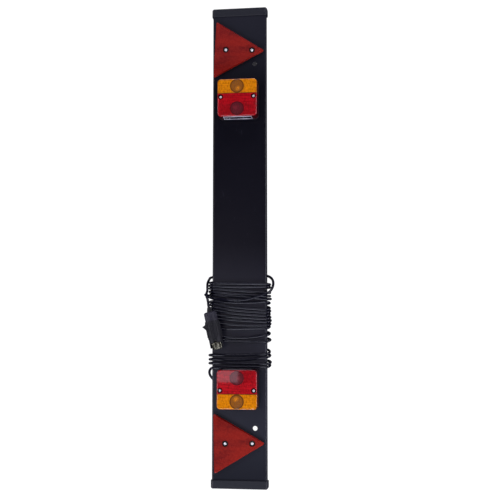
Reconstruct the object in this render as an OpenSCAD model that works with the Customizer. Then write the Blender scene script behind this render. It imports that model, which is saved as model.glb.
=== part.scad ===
// Trailer lighting board, lying on its back with its lamps facing up.
// Z = 0 is the plane that it lies on, X runs across the board and Y along it.
// The left end of the board in use is at +Y, and its upper edge in use is at +X.

/* [Board] */
// Length of the extruded board, without its end caps
board_l = 1220; // [1000:10:1800]
// Width of the board across its face
board_w = 139; // [130:1:170]
// Depth of the board from its face to the back of its lips
board_d = 22; // [20:0.5:28]
// Wall thickness of the extrusion
board_wall = 2.5; // [2:0.1:3.5]
// Outside radius along the board's four long edges
board_edge_r = 5; // [4:0.5:7]
// Width of the lip turned in behind each long edge
lip_w = 12; // [8:1:16]
// Height of the two stiffening ribs behind the face
rib_h = 1.5; // [0.5:0.1:2]
// Width of each stiffening rib
rib_w = 4; // [2:0.5:6]
// Distance of the ribs' middles from the board's long edges
rib_from_edge = 14.5; // [11.5:0.5:17.5]

/* [End caps] */
// Length of board that a cap's skirt covers
cap_reach = 17; // [12:1:25]
// Wall thickness of the cap's skirt
cap_wall = 2.5; // [2:0.1:3.5]
// Thickness of the cap's closed end
cap_end = 3; // [2:0.5:5]
// Radius of the cap's outer corners in the face view
cap_corner_r = 5; // [3:0.5:8]
// Clearance between the cap and the board
cap_gap = 0.2; // [0.1:0.05:0.4]
// Width of each tongue that the cap pushes into the board
tongue_w = 22; // [15:1:30]
// Thickness of each tongue
tongue_t = 3; // [2:0.5:5]

/* [Fixing holes] */
// Diameter of the two holes that fix the board to a carrier
fixing_d = 12; // [8:0.5:14]
// Distance of a fixing hole from the board's end
fixing_from_end = 146; // [141:1:151]
// Distance of the fixing holes from the board's middle line
fixing_x = 40; // [36:1:44]

/* [Reflectors] */
// Side of the reflector triangle, measured to its sharp corners
reflector_side = 150; // [146:1:154]
// Radius of the triangle's corners
reflector_corner_r = 3.5; // [2.5:0.5:6]
// Thickness of the backing plate
backing_t = 3; // [2:0.5:4]
// Height of the red lens above its backing
reflector_lens_t = 5; // [4:0.5:7]
// Wall thickness of the red lens
reflector_wall = 2; // [1.5:0.25:3]
// Width and height of the bevel round the lens
reflector_bevel = 2.5; // [1:0.25:3]
// Distance of the triangle's centre from the board's middle line
reflector_x = -20.4; // [-22:0.1:-18]
// Distance of the triangle's centre from the board's end
reflector_from_end = 108.5; // [107:0.5:112]
// Turn of the left reflector about its centre, as fitted
left_reflector_turn = -3; // [-4:0.5:4]
// Turn of the right reflector about its centre, as fitted
right_reflector_turn = 1; // [-4:0.5:4]
// Distance of the near screw from the triangle's centre, towards its base
near_screw_x = 14; // [10:0.5:20]
// Distance of the far screw from the triangle's centre, towards its point
far_screw_x = 54; // [50:0.5:58]
// Diameter of the backing's pillars that the screws stand in
pillar_d = 13; // [11:0.5:14]
// Distance of the pillars' tops below the lens's surface
pillar_drop = 1.5; // [0.5:0.1:2]

/* [Lamps] */
// Width of a lamp at its base, across the board
lamp_w = 102; // [100:0.5:108]
// Length of a lamp at its base, along the board
lamp_l = 98; // [94:0.5:104]
// Radius of the lamp's corners
lamp_corner_r = 9; // [6:0.5:14]
// Distance of a lamp's centre from the board's end
lamp_from_end = 244; // [240:1:250]
// Height of the lamp's base moulding
base_h = 14; // [12:0.5:18]
// Thickness of the base's floor
base_floor = 3; // [2:0.5:4]
// Wall thickness of the base
base_wall = 2.5; // [2:0.1:3.5]
// Thickness of the foam seal under the lens
seal_t = 1.5; // [1:0.25:3]
// Height of the lens above the seal
lens_h = 30.5; // [28:0.5:36]
// Wall thickness of the lens
lens_wall = 2.5; // [2:0.1:3]
// Amount that each lens wall leans in over its height
lens_draft = 1; // [0:0.1:2]
// Radius of the lens's front edge
lens_edge_r = 3; // [2:0.25:5]
// Distance of the amber and red joint from the lamp's centre
split_y = 11; // [9.5:0.5:12]
// Width of the clear number plate window
window_w = 73; // [60:1:80]
// Height of the clear number plate window
window_h = 25; // [15:0.5:26]
// Distance of the lens screws from the lamp's side
lens_screw_inset = 9; // [8:0.5:10]
// Distance of the lens screws from the lamp's centre, towards the indicator
lens_screw_y = 2; // [0:0.5:3]
// Outside diameter of the wells and bosses that the lens screws pass through
well_d = 11.8; // [10.8:0.1:12.2]
// Diameter of the recess round each lens screw's head
recess_d = 9.4; // [8.8:0.1:9.8]
// Distance between a lamp's two fixing bolts
lamp_bolt_span = 60; // [58:0.5:62]
// Thickness of the wall between the lamp's two chambers
divider_t = 2; // [1.5:0.25:3]

/* [Lens optics] */
// Distance between the ribs inside the lens
flute_pitch = 3; // [2:0.5:5]
// Height of the ribs inside the lens
flute_h = 1; // [0.5:0.1:1.5]
// Diameter of the ringed lens in front of each bulb
bullseye_d = 34; // [28:0.5:34.5]
// Number of rings in it
bullseye_rings = 4; // [3:1:6]
// Depth of its rings
bullseye_t = 2; // [1:0.25:2.5]
// Distance of the stop and tail bulb from the lamp's inner end
red_bulb_from_end = 19; // [17:0.5:21]
// Height of the plain band that holds the lens screws, below the joint
plain_band = 26; // [24:0.5:28]

/* [Bulbs] */
// Diameter of a bulb's glass
bulb_d = 25; // [23:0.5:26]
// Diameter of a bulb's metal cap
bulb_cap_d = 15; // [14:0.25:16]
// Length of a bulb's metal cap
bulb_cap_l = 16; // [14:0.5:18]
// Distance from the back of a bulb's cap to the lamp's side
bulb_from_side = 8; // [6:0.5:11]
// Height of the bulbs' axes above the board's face
bulb_z = 22; // [20:0.5:24]
// Sheet thickness of the bulb holders
holder_t = 0.8; // [0.6:0.1:1.2]

/* [Fasteners] */
// Diameter of the lamp bolts
lamp_bolt_d = 5; // [4:0.5:6]
// Diameter of the lens screws and the reflector screws
screw_d = 4; // [3:0.25:4.5]
// Diameter of the pan heads on those screws
screw_head_d = 8; // [7:0.25:8.5]
// Height of the pan heads
screw_head_h = 2.4; // [1.8:0.1:3]
// Clearance round a screw or bolt in a plain hole
hole_gap = 0.25; // [0.1:0.05:0.4]
// Clearance between a nut and its screw
thread_gap = 0.05; // [0.03:0.01:0.1]

/* [Cables] */
// Diameter of the seven-core lead
cable_d = 6.5; // [6:0.1:7]
// Diameter of the link cable between the lamps
link_d = 5; // [4.5:0.1:5.5]
// Outside diameter of the lead's grommet neck
supply_neck_d = 14; // [12:0.5:15]
// Outside diameter of the link cable's grommet neck
link_neck_d = 12; // [10:0.5:13]
// Width and thickness of a grommet's flanges
flange_t = 1.5; // [1:0.1:1.6]
// Length of a link cable clip
clip_l = 8; // [5:0.5:12]
// Wall thickness of the clips
clip_t = 1.5; // [1:0.25:2]
// Number of link cable clips
clip_count = 5; // [3:1:7]
// Distance of the first and the last clip from the lamps' centres
clip_from_lamp = 126; // [110:1:150]

/* [Winding] */
// Length of board that the first, smaller group of turns covers
small_winding_l = 34; // [26:0.5:45]
// Distance between the two groups of turns
winding_gap = 27.5; // [24:0.5:32]
// Length of board that the second, larger group of turns covers
large_winding_l = 153; // [146:0.5:170]
// Clearance between the first group of turns and the lamp
winding_to_lamp = 3.5; // [1:0.1:5]
// Distance that the turns bulge out from the board's edges
winding_bulge = 2.5; // [1.5:0.1:4]

/* [Plug] */
// Diameter of the plug's body
plug_d = 38; // [36:0.5:40]
// Length of the plug's body behind its skirt
plug_body_l = 44; // [40:0.5:48]
// Outside diameter of the skirt round the pins
skirt_d = 34; // [33:0.25:35]
// Length of the skirt
skirt_l = 23; // [20:0.5:26]
// Wall thickness of the skirt
skirt_wall = 2.5; // [2:0.1:3]
// Diameter of the collar that clamps the lead
collar_d = 32; // [30:0.5:34]
// Length of the collar
collar_l = 23; // [20:0.5:26]
// Number of finger grooves round the collar
collar_grooves = 12; // [8:1:16]
// Number of grip ribs round the body
grip_ribs = 20; // [12:1:28]
// Height of the grip ribs
grip_h = 1; // [0.5:0.1:1.5]
// Height of the catch lug above the body
lug_h = 7.5; // [5:0.5:9]
// Width of the keyway in the skirt
keyway_w = 7; // [5:0.5:9]
// Depth of the insert that carries the pins
insert_l = 14; // [12:0.5:16]
// Diameter of the circle that six of the pins stand on
pin_circle_d = 19; // [18:0.25:20]
// Diameter of a pin
pin_d = 4.5; // [4:0.1:5]
// Distance that the pins stand out beyond the skirt
pin_proud = 5; // [3:0.5:7]
// Length of the tapered boot behind the collar
boot_l = 20; // [20:0.5:26]
// Clearance between the plug's pieces
plug_gap = 0.1; // [0.05:0.05:0.2]

/* [Hidden] */
$fn = 64;

// Ends of the board, along Y, and its long edges, along X
left = 1;
right = -1;
left_edge = -1;
right_edge = 1;

// Heights
lip_z = cable_d;
face_z = lip_z + board_d;
wall_z = face_z - board_wall;
mid_z = lip_z + board_d / 2;
wound_z = face_z + cable_d;

// Places along and across the board
lamp_y = board_l / 2 - lamp_from_end;
reflector_y = board_l / 2 - reflector_from_end;
fixing_y = board_l / 2 - fixing_from_end;
turn_x = board_w / 2 - board_edge_r;
turn_r = board_edge_r + winding_bulge;
lip_x = board_w / 2 - lip_w;
rib_x = board_w / 2 - rib_from_edge;
small_winding_y = -lamp_y + lamp_l / 2 + winding_to_lamp;
bridge_y = small_winding_y + small_winding_l;
large_winding_y = bridge_y + winding_gap;
tail_y = large_winding_y + large_winding_l;

// Lamp
lens_z = base_h + seal_t;
lens_top = lens_z + lens_h;
lens_screw_x = lamp_w / 2 - lens_screw_inset;
bullseye_r = bullseye_d / 2;
ceiling_z = lens_top - lens_wall;
divider_top = ceiling_z - flute_h - 1;
divider_w = lamp_w - 2 * (lens_wall + lens_draft + 1.5);
lens_screw_l = lens_top - screw_head_h - 1 - base_floor - 2;
lamp_bolt_head_d = 1.8 * lamp_bolt_d;
lamp_bolt_head_h = 0.7 * lamp_bolt_d;
lamp_nut_h = 0.8 * lamp_bolt_d;
lamp_nut_d = 1.85 * lamp_bolt_d;
bolt_end = 1;
lamp_bolt_y = -2;
bulb_reach = lamp_w / 2 - bulb_from_side;
amber_bulb_y = (split_y + divider_t / 2 + lamp_l / 2 - base_wall) / 2;
red_bulb_y = -lamp_l / 2 + red_bulb_from_end;
link_hole = [-14, -5];
supply_hole = [4, -6];
cup_gap = 0.1;
cup_wall_back = 1;
foot_l = 12;
foot_w = 6;
terminal_size = [24, 10, 9];
terminal_gap = [4.5, 13.5];
terminal_at = [
    lamp_w / 2 - base_wall - terminal_gap.x - terminal_size.x / 2,
    -lamp_l / 2 + base_wall + terminal_gap.y + terminal_size.y / 2
];

// Reflector
reflector_t = backing_t + reflector_lens_t;
pillar_top = reflector_t - pillar_drop;
reflector_nut_h = 3.2;
reflector_nut_d = 1.85 * screw_d;

// Lead clamp
clamp_size = [12, 21, 19];
clamp_at = [27.5 - lip_x, 16.5 - lamp_y - lamp_bolt_y];
clamp_hole_z = wall_z - 14.5;
clamp_screw_y = 7;
clamp_screw_d = 3;
clamp_head_d = 5.5;
clamp_head_h = 1.6;

// Link cable clips
clip_w = 2.8 * link_d;
clip_gap = 1;
link_x = rib_x - rib_w / 2 - clip_gap - clip_w / 2;
link_z = wall_z - clip_t - link_d / 2;

// Plug, measured along its axis from the back of its collar
plug_at = [-turn_x - 6.5, tail_y - 76, wound_z + plug_d / 2];
plug_lean = 12.4;
shell_z = collar_l;
skirt_z = shell_z + plug_body_l;
plug_mouth = skirt_z + skirt_l;
insert_z = plug_mouth - 16 - insert_l;
bore_d = skirt_d - 2 * skirt_wall;
boot_tail_d = 9;
boot_neck_d = 16;
boot_inside = 8;

// Routes of the cables, as points chosen along each one

// Link cable, down from a lamp and over to its clips: share of the way across, distance along, height over the wall
link_bend = [
    [0, 0, 10], [0, 0, -1.5], [0.01, -1, -6], [0.03, -4, -9.8], [0.08, -8.5, -12], [0.15, -15, -12.5],
    [0.27, -23, -11.3], [0.43, -33, -9], [0.62, -44, -6.6], [0.8, -54, -4.9], [0.94, -64, -4.1], [1, -75, -4]
];
function beside_lamp(side, p) = [
    side * link_hole.x + (link_x - side * link_hole.x) * p[0],
    side * (lamp_y + link_hole.y + p[1]),
    wall_z + p[2] - (p[0] == 1 ? wall_z - 4 - link_z : 0)
];
link_route = concat(
    [for (p = link_bend) beside_lamp(left, p)],
    [for (i = [len(link_bend) - 1:-1:0]) beside_lamp(right, link_bend[i])]
);

// Supply cable, down from the right lamp, measured from its hole, then into the clamp, measured from the clamp
supply_bend = [
    [0, 0, 10], [0, 0, -1.5], [-0.8, 0.6, -6.5], [-2.9, 2.4, -10.7], [-6.2, 5.2, -13.5], [-10, 8.4, -14.5]
];
supply_run = [[11, -1, 0], [6, 0, 0], [-6, 0, 0]];
supply_route = concat(
    [for (p = supply_bend) p + [-supply_hole.x, -lamp_y - supply_hole.y, wall_z]],
    [for (p = supply_run) p + [clamp_at.x, clamp_at.y, clamp_hole_z]]
);

// Free lead, out of the clamp and under the lip: distance from the clamp, share of the drop
entry_dip = [[0, 1], [1.5, 1], [5, 0.94], [8.2, 0.77], [11, 0.5], [13.8, 0.23], [17, 0.06], [20.5, 0]];
// Round a long edge of the board: angle from the edge's middle, height over the turn's inside, distance along
entry_turn = [
    [-90, 3.25, -33], [-61, 3.7, -31], [-34, 4, -26.5], [-11, 5.2, -21], [0, 5.9, -14.5], [0, 4.6, -7.5],
    [0, 3.35, -2], [0, 3.25, 0]
];
function round_edge(side, p, y) = [
    side * (turn_x + (turn_r + p[1]) * cos(p[0])),
    y + p[2],
    mid_z + sign(p[0]) * (board_d / 2 - turn_r) + (turn_r + p[1]) * sin(p[0])
];
entry_route = concat(
    [
        for (p = entry_dip)
            [clamp_at.x - clamp_size.x / 2 - p[0], clamp_at.y, cable_d / 2 + p[1] * (clamp_hole_z - cable_d / 2)]
    ],
    [for (p = entry_turn) round_edge(left_edge, p, small_winding_y)]
);

// Behind the board, from one group of turns to the other
bridge_route = [
    [0.94 * turn_x, bridge_y - 2, cable_d / 2], [0.2 * turn_x, bridge_y + 12.7, cable_d / 2],
    [-0.54 * turn_x, large_winding_y + 2, cable_d / 2]
];

// Over the larger group of turns: share of the way across, distance along, height
tail_over = [
    [-0.62, -45.5, -2], [-0.4, -46.5, 1.2], [-0.15, -47.3, 3.1], [0.15, -46.5, 3.25], [0.5, -41.5, 3.25],
    [0.8, -35.5, 3.25]
];
tail_right_turn = [
    [90, 9.75, -31.3], [62, 10.3, -28.5], [36, 11.5, -22.5], [13, 12.8, -13.5], [0, 13.3, -3.5], [-8, 11.4, 5],
    [-27, 8.2, 11], [-53, 4.9, 15], [-90, 3.25, 17]
];
tail_left_turn = [
    [-90, 3.25, 14.5], [-60, 4.8, 14], [-32, 9.3, 12], [-20, 10.3, 7], [-6, 11.3, 1.7], [0, 11.8, -4.2],
    [6, 11.4, -10.9], [25, 13, -19.6], [33, 16.2, -24.9]
];
// Up to the plug, measured from the back of its boot
tail_rise = [
    [-11.2, 33.9, -15], [-9.4, 29, -11], [-6.4, 24.4, -7.3], [-3.9, 19.2, -4.2], [-2.4, 13.6, -1.9],
    [-1.7, 8, -0.5], [-0.9, 4, 0], [0, 0, 0]
];
tail_end = plug_at + (boot_l - boot_inside) * [-sin(plug_lean), cos(plug_lean), 0];
tail_route = concat(
    [for (p = tail_over) [p[0] * turn_x, tail_y + p[1], wound_z + p[2]]],
    [for (p = tail_right_turn) round_edge(right_edge, p, tail_y)],
    [for (p = tail_left_turn) round_edge(left_edge, p, tail_y)],
    [for (p = tail_rise) tail_end + p]
);

// Helpers

module rounded_rect(w, h, r) {
    square([w - 2 * r, h], center = true);
    square([w, h - 2 * r], center = true);
    for (x = [-1, 1], y = [-1, 1])
        translate([x * (w / 2 - r), y * (h / 2 - r)])
            circle(r);
}

module rounded_plate(w, l, r, t) {
    linear_extrude(t)
        rounded_rect(w, l, r);
}

// A bar along Y whose section is drawn across the board, centred on the board's depth
module bar_along_board(l) {
    translate([0, 0, mid_z])
        rotate([90, 0, 0])
            linear_extrude(l, center = true)
                children();
}

module at_ends(side) {
    rotate([0, 0, side == left ? 0 : 180])
        children();
}

module at_lamp(side) {
    translate([0, side * lamp_y, face_z])
        at_ends(side)
            children();
}

module at_reflector(side) {
    translate([reflector_x, side * reflector_y, face_z])
        rotate([0, 0, side == left ? left_reflector_turn : right_reflector_turn])
            children();
}

module at_reflector_screws(side) {
    at_reflector(side)
        for (x = [-near_screw_x, far_screw_x])
            translate([x, 0, 0])
                children();
}

module at_lamp_bolts(side) {
    at_lamp(side)
        for (x = [-1, 1])
            translate([x * lamp_bolt_span / 2, lamp_bolt_y, 0])
                children();
}

module at_lens_screws() {
    for (x = [-1, 1])
        translate([x * lens_screw_x, lens_screw_y, 0])
            children();
}

module pan_head(d, h) {
    rotate_extrude()
        intersection() {
            square([d / 2, h]);
            translate([0, h - d])
                circle(d);
        }
}

module hex_nut(d, h, bore) {
    difference() {
        cylinder(d = d, h = h, $fn = 6);
        translate([0, 0, -1])
            cylinder(d = bore, h = h + 2);
    }
}

function unit(v) = v / norm(v);
function headings(p) = [for (i = [0:len(p) - 1]) unit(p[min(i + 1, len(p) - 1)] - p[max(i - 1, 0)])];
function across(n, t) = unit(n - (n * t) * t);
function sideways(t, n, i = 0) =
    i == len(t) ? [] : let (m = across(n, t[i])) concat([m], sideways(t, m, i + 1));

// A round cable that follows a route, with a ring of points at each of the route's points
module cable(route, d, start = [0, 1, 0], sides = 10) {
    t = headings(route);
    n = sideways(t, start);
    last = len(route) - 1;
    rings = [
        for (i = [0:last], k = [0:sides - 1])
            let (a = 360 * k / sides)
                route[i] + d / 2 * (cos(a) * n[i] + sin(a) * cross(t[i], n[i]))
    ];
    walls = [
        for (i = [0:last - 1], k = [0:sides - 1])
            let (j = (k + 1) % sides)
                [i * sides + k, (i + 1) * sides + k, (i + 1) * sides + j, i * sides + j]
    ];
    near_end = [for (k = [0:sides - 1]) k];
    far_end = [for (k = [0:sides - 1]) last * sides + sides - 1 - k];
    polyhedron(rings, concat(walls, [near_end, far_end]), convexity = 10);
}

// Board and end caps

module board_section() {
    difference() {
        rounded_rect(board_w, board_d, board_edge_r);
        rounded_rect(board_w - 2 * board_wall, board_d - 2 * board_wall, board_edge_r - board_wall);
        translate([0, -board_d / 2])
            square([board_w - 2 * lip_w, 3 * board_wall], center = true);
    }
    for (x = [-1, 1])
        translate([x * rib_x, board_d / 2 - board_wall - rib_h / 2])
            square([rib_w, rib_h], center = true);
}

module through_wall(d) {
    translate([0, 0, -board_wall - rib_h - 1])
        cylinder(d = d, h = board_wall + rib_h + 2);
}

module board() {
    color([0.07, 0.07, 0.1])
        difference() {
            bar_along_board(board_l)
                board_section();
            for (side = [left, right]) {
                translate([fixing_x, side * fixing_y, face_z])
                    through_wall(fixing_d);
                at_reflector_screws(side)
                    through_wall(screw_d + 2 * hole_gap);
                at_lamp_bolts(side)
                    through_wall(lamp_bolt_d + 2 * hole_gap);
                at_lamp(side)
                    translate(link_hole)
                        through_wall(link_neck_d);
            }
            at_lamp(right)
                translate(supply_hole)
                    through_wall(supply_neck_d);
            for (y = [-1, 1])
                translate([clamp_at.x, clamp_at.y + y * clamp_screw_y, face_z])
                    through_wall(clamp_screw_d + 2 * thread_gap);
        }
}

module end_cap(side) {
    sleeve = 2 * (cap_gap + cap_wall);
    color([0.13, 0.14, 0.17])
        at_ends(side) {
            difference() {
                intersection() {
                    translate([0, board_l / 2 + cap_end - (cap_reach + cap_end) / 2, 0])
                        bar_along_board(cap_reach + cap_end)
                            rounded_rect(board_w + sleeve, board_d + sleeve, board_edge_r + sleeve / 2);
                    translate([0, board_l / 2 + cap_end - cap_reach, 0])
                        rounded_plate(board_w + sleeve, 2 * cap_reach, cap_corner_r, 2 * face_z);
                }
                translate([0, board_l / 2 - cap_reach, 0])
                    bar_along_board(2 * cap_reach)
                        rounded_rect(board_w + 2 * cap_gap, board_d + 2 * cap_gap, board_edge_r + cap_gap);
            }
            for (x = [-1, 1])
                translate([x * board_w / 4 - tongue_w / 2, board_l / 2 - cap_reach + 2, wall_z - cap_gap - tongue_t])
                    cube([tongue_w, cap_reach - 1, tongue_t]);
        }
}

// Reflectors

// A triangle with rounded corners that points along +X, centred on its middle
module rounded_triangle(side, r) {
    hull()
        for (a = [0, 120, 240])
            rotate(a)
                translate([side / sqrt(3) - 2 * r, 0])
                    circle(r, $fn = 36);
}

module reflector_backing(side) {
    color([0.12, 0.12, 0.13])
        difference() {
            union() {
                at_reflector(side)
                    linear_extrude(backing_t)
                        rounded_triangle(reflector_side, reflector_corner_r);
                at_reflector_screws(side)
                    cylinder(d = pillar_d, h = pillar_top);
            }
            at_reflector_screws(side)
                translate([0, 0, -1])
                    cylinder(d = screw_d + 2 * hole_gap, h = reflector_t + 2);
        }
}

module reflector_lens(side) {
    inner_side = reflector_side - 2 * sqrt(3) * (reflector_wall + reflector_bevel);
    top_side = reflector_side - 2 * sqrt(3) * reflector_bevel;
    color([0.75, 0.05, 0.06])
        difference() {
            at_reflector(side)
                translate([0, 0, backing_t])
                    hull() {
                        linear_extrude(reflector_lens_t - reflector_bevel)
                            rounded_triangle(reflector_side, reflector_corner_r);
                        linear_extrude(reflector_lens_t)
                            rounded_triangle(top_side, reflector_corner_r);
                    }
            at_reflector(side)
                translate([0, 0, backing_t - 1])
                    linear_extrude(reflector_lens_t - reflector_wall + 1)
                        rounded_triangle(inner_side, reflector_corner_r);
            at_reflector_screws(side)
                cylinder(d = pillar_d + 2 * hole_gap, h = reflector_t + 1);
        }
}

module reflector_screws() {
    shank = pillar_top + board_wall + reflector_nut_h + 1;
    color([0.8, 0.8, 0.82])
        for (side = [left, right])
            at_reflector_screws(side) {
                translate([0, 0, pillar_top])
                    pan_head(screw_head_d, screw_head_h);
                translate([0, 0, pillar_top - shank])
                    cylinder(d = screw_d, h = shank);
            }
}

module reflector_nuts() {
    color([0.75, 0.75, 0.78])
        for (side = [left, right])
            at_reflector_screws(side)
                translate([0, 0, -board_wall - reflector_nut_h])
                    hex_nut(reflector_nut_d, reflector_nut_h, screw_d + 2 * thread_gap);
}

// Lamps, drawn with the indicator towards +Y and the board's face at Z = 0

module lamp_base(side) {
    color([0.1, 0.1, 0.11])
        difference() {
            at_lamp(side)
                union() {
                    difference() {
                        rounded_plate(lamp_w, lamp_l, lamp_corner_r, base_h);
                        translate([0, 0, base_floor])
                            rounded_plate(
                                lamp_w - 2 * base_wall, lamp_l - 2 * base_wall,
                                lamp_corner_r - base_wall, base_h
                            );
                    }
                    at_lens_screws()
                        cylinder(d = well_d, h = base_h);
                    translate([-divider_w / 2, split_y - divider_t / 2, base_floor / 2])
                        cube([divider_w, divider_t, divider_top - base_floor / 2]);
                    for (x = [-1, 1])
                        translate([x * (lamp_w / 2 - base_wall - 3), split_y - divider_t / 2, base_floor / 2])
                            translate([-3.5, 0, 0])
                                cube([7, divider_t, base_h - base_floor / 2]);
                }
            at_lamp(side)
                at_lens_screws()
                    translate([0, 0, base_floor])
                        cylinder(d = screw_d + 2 * thread_gap, h = base_h);
            at_lamp_bolts(side)
                translate([0, 0, -1])
                    cylinder(d = lamp_bolt_d + 2 * hole_gap, h = base_floor + 2);
            at_lamp(side)
                translate([link_hole.x, link_hole.y, -1])
                    cylinder(d = link_neck_d, h = base_floor + 2);
            if (side == right)
                at_lamp(side)
                    translate([supply_hole.x, supply_hole.y, -1])
                        cylinder(d = supply_neck_d, h = base_floor + 2);
        }
}

module lens_seal(side) {
    color([0.2, 0.2, 0.2])
        at_lamp(side)
            translate([0, 0, base_h])
                difference() {
                    rounded_plate(lamp_w, lamp_l, lamp_corner_r, seal_t);
                    translate([0, 0, -1])
                        rounded_plate(
                            lamp_w - 2 * base_wall, lamp_l - 2 * base_wall,
                            lamp_corner_r - base_wall, seal_t + 2
                        );
                }
}

// The lens's outer form, or its inner form when inset by the wall
module lens_form(inset, h) {
    w = lamp_w - 2 * inset;
    l = lamp_l - 2 * inset;
    r = lamp_corner_r - inset;
    edge = max(lens_edge_r - inset, 0.5);
    hull() {
        rounded_plate(w, l, r, 0.01, $fn = 32);
        for (a = [0:30:90])
            translate([0, 0, h - edge * (1 - sin(a)) - 0.01])
                rounded_plate(
                    w - 2 * lens_draft - 2 * edge * (1 - cos(a)),
                    l - 2 * lens_draft - 2 * edge * (1 - cos(a)),
                    r - edge * (1 - cos(a)), 0.01, $fn = 32
                );
    }
}

module lens_shell() {
    translate([0, 0, lens_z]) {
        difference() {
            lens_form(0, lens_h);
            translate([0, 0, -0.1])
                lens_form(lens_wall, lens_h - lens_wall + 0.1);
        }
    }
}

// Ribs across the lens behind its front wall, from one distance along the lamp to another
module flutes(from_y, to_y) {
    count = floor((to_y - from_y) / flute_pitch);
    start_y = (from_y + to_y - count * flute_pitch) / 2;
    w = divider_w - 6;
    translate([w / 2, 0, ceiling_z])
        rotate([0, -90, 0])
            linear_extrude(w)
                polygon(concat(
                    [[0.1, start_y + count * flute_pitch], [0.1, start_y]],
                    [
                        for (i = [0:count - 1], p = [[0, 0], [-flute_h, 0.5]])
                            [p.x, start_y + (i + p.y) * flute_pitch]
                    ],
                    [[0, start_y + count * flute_pitch]]
                ));
}

// A ringed lens: each ring slopes to an edge, like a magnifier cut into steps
module bullseye(y) {
    ring_w = bullseye_r / bullseye_rings;
    translate([0, y, ceiling_z])
        rotate_extrude()
            polygon(concat(
                [[0, 0.1], [bullseye_r, 0.1]],
                [
                    for (i = [bullseye_rings - 1:-1:0], p = [[1, -0.3], [0, -bullseye_t]])
                        [(i + p.x) * ring_w, p.y]
                ]
            ));
}

module bullseye_space(y) {
    translate([0, y, ceiling_z - bullseye_t])
        cylinder(r = bullseye_r, h = bullseye_t);
}

module screw_wells() {
    at_lens_screws()
        translate([0, 0, lens_z])
            cylinder(d = well_d, h = lens_h - lens_wall / 2);
}

module screw_passages() {
    at_lens_screws() {
        cylinder(d = screw_d + 2 * hole_gap, h = lens_top);
        translate([0, 0, lens_top - screw_head_h - 1])
            cylinder(d = recess_d, h = 2 * screw_head_h);
    }
}

module window_place() {
    translate([-window_w / 2, -lamp_l / 2 - 1, lens_z])
        cube([window_w, lens_draft + lens_wall + 1, window_h]);
}

module red_lens(side) {
    low_y = -lamp_l / 2 + lens_wall + lens_draft + 1;
    color([0.78, 0.05, 0.1])
        at_lamp(side)
            difference() {
                union() {
                    intersection() {
                        lens_shell();
                        translate([-lamp_w, split_y - 2 * lamp_l, 0])
                            cube([2 * lamp_w, 2 * lamp_l, 2 * lens_top]);
                    }
                    screw_wells();
                    difference() {
                        flutes(low_y, split_y - plain_band);
                        bullseye_space(red_bulb_y);
                    }
                    bullseye(red_bulb_y);
                }
                screw_passages();
                window_place();
            }
}

module amber_lens(side) {
    high_y = lamp_l / 2 - lens_wall - lens_draft - 1;
    color([0.95, 0.55, 0.08])
        at_lamp(side) {
            intersection() {
                lens_shell();
                translate([-lamp_w, split_y, 0])
                    cube([2 * lamp_w, 2 * lamp_l, 2 * lens_top]);
            }
            difference() {
                flutes(split_y + 1, high_y);
                bullseye_space(amber_bulb_y);
            }
            bullseye(amber_bulb_y);
        }
}

module plate_window(side) {
    color([0.85, 0.9, 0.95])
        at_lamp(side)
            intersection() {
                lens_shell();
                window_place();
            }
}

module bulb(y) {
    translate([-bulb_reach, y, bulb_z])
        rotate([0, 90, 0]) {
            cylinder(d = bulb_cap_d, h = bulb_cap_l);
            cylinder(d = bulb_cap_d - 2, h = bulb_reach);
            translate([0, 0, bulb_reach])
                sphere(d = bulb_d);
        }
}

module bulb_holder(y) {
    cup_d = bulb_cap_d + 2 * cup_gap;
    outer_d = cup_d + 2 * holder_t;
    back = bulb_reach + cup_wall_back;
    translate([-back, y, bulb_z])
        rotate([0, 90, 0])
            difference() {
                cylinder(d = outer_d, h = bulb_cap_l);
                translate([0, 0, cup_wall_back])
                    cylinder(d = cup_d, h = bulb_cap_l);
            }
    for (s = [-1, 1]) {
        translate([-back + 2, y + s * (outer_d - holder_t) / 2 - holder_t / 2, base_floor])
            cube([foot_l, holder_t, bulb_z - base_floor]);
        translate([-back + 2, y + s * (outer_d + foot_w - holder_t) / 2 - foot_w / 2, base_floor])
            cube([foot_l, foot_w, holder_t]);
    }
}

module bulb_holders(side) {
    color([0.75, 0.76, 0.78])
        at_lamp(side)
            for (y = [red_bulb_y, amber_bulb_y])
                bulb_holder(y);
}

module indicator_bulb(side) {
    color([0.95, 0.7, 0.3])
        at_lamp(side)
            bulb(amber_bulb_y);
}

module stop_tail_bulb(side) {
    color([0.9, 0.92, 0.95])
        at_lamp(side)
            bulb(red_bulb_y);
}

module terminal_block(side) {
    color([0.7, 0.65, 0.45])
        at_lamp(side)
            translate([terminal_at.x, terminal_at.y, base_floor + terminal_size.z / 2])
                difference() {
                    cube(terminal_size, center = true);
                    for (i = [-1:1])
                        translate([i * terminal_size.x / 3, 0, 1])
                            cylinder(d = terminal_size.y / 2, h = terminal_size.z);
                }
}

module lens_screws() {
    color([0.8, 0.8, 0.82])
        for (side = [left, right])
            at_lamp(side)
                at_lens_screws() {
                    translate([0, 0, lens_top - screw_head_h - 1])
                        pan_head(screw_head_d, screw_head_h);
                    translate([0, 0, lens_top - screw_head_h - 1 - lens_screw_l])
                        cylinder(d = screw_d, h = lens_screw_l);
                }
}

module lamp_bolts() {
    shank = base_floor + board_wall + lamp_nut_h + bolt_end;
    color([0.72, 0.72, 0.75])
        for (side = [left, right])
            at_lamp_bolts(side) {
                translate([0, 0, base_floor])
                    cylinder(d = lamp_bolt_head_d, h = lamp_bolt_head_h, $fn = 6);
                translate([0, 0, base_floor - shank])
                    cylinder(d = lamp_bolt_d, h = shank);
            }
}

module lamp_nuts() {
    color([0.72, 0.72, 0.75])
        for (side = [left, right])
            at_lamp_bolts(side)
                translate([0, 0, -board_wall - lamp_nut_h])
                    hex_nut(lamp_nut_d, lamp_nut_h, lamp_bolt_d + 2 * thread_gap);
}

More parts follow.
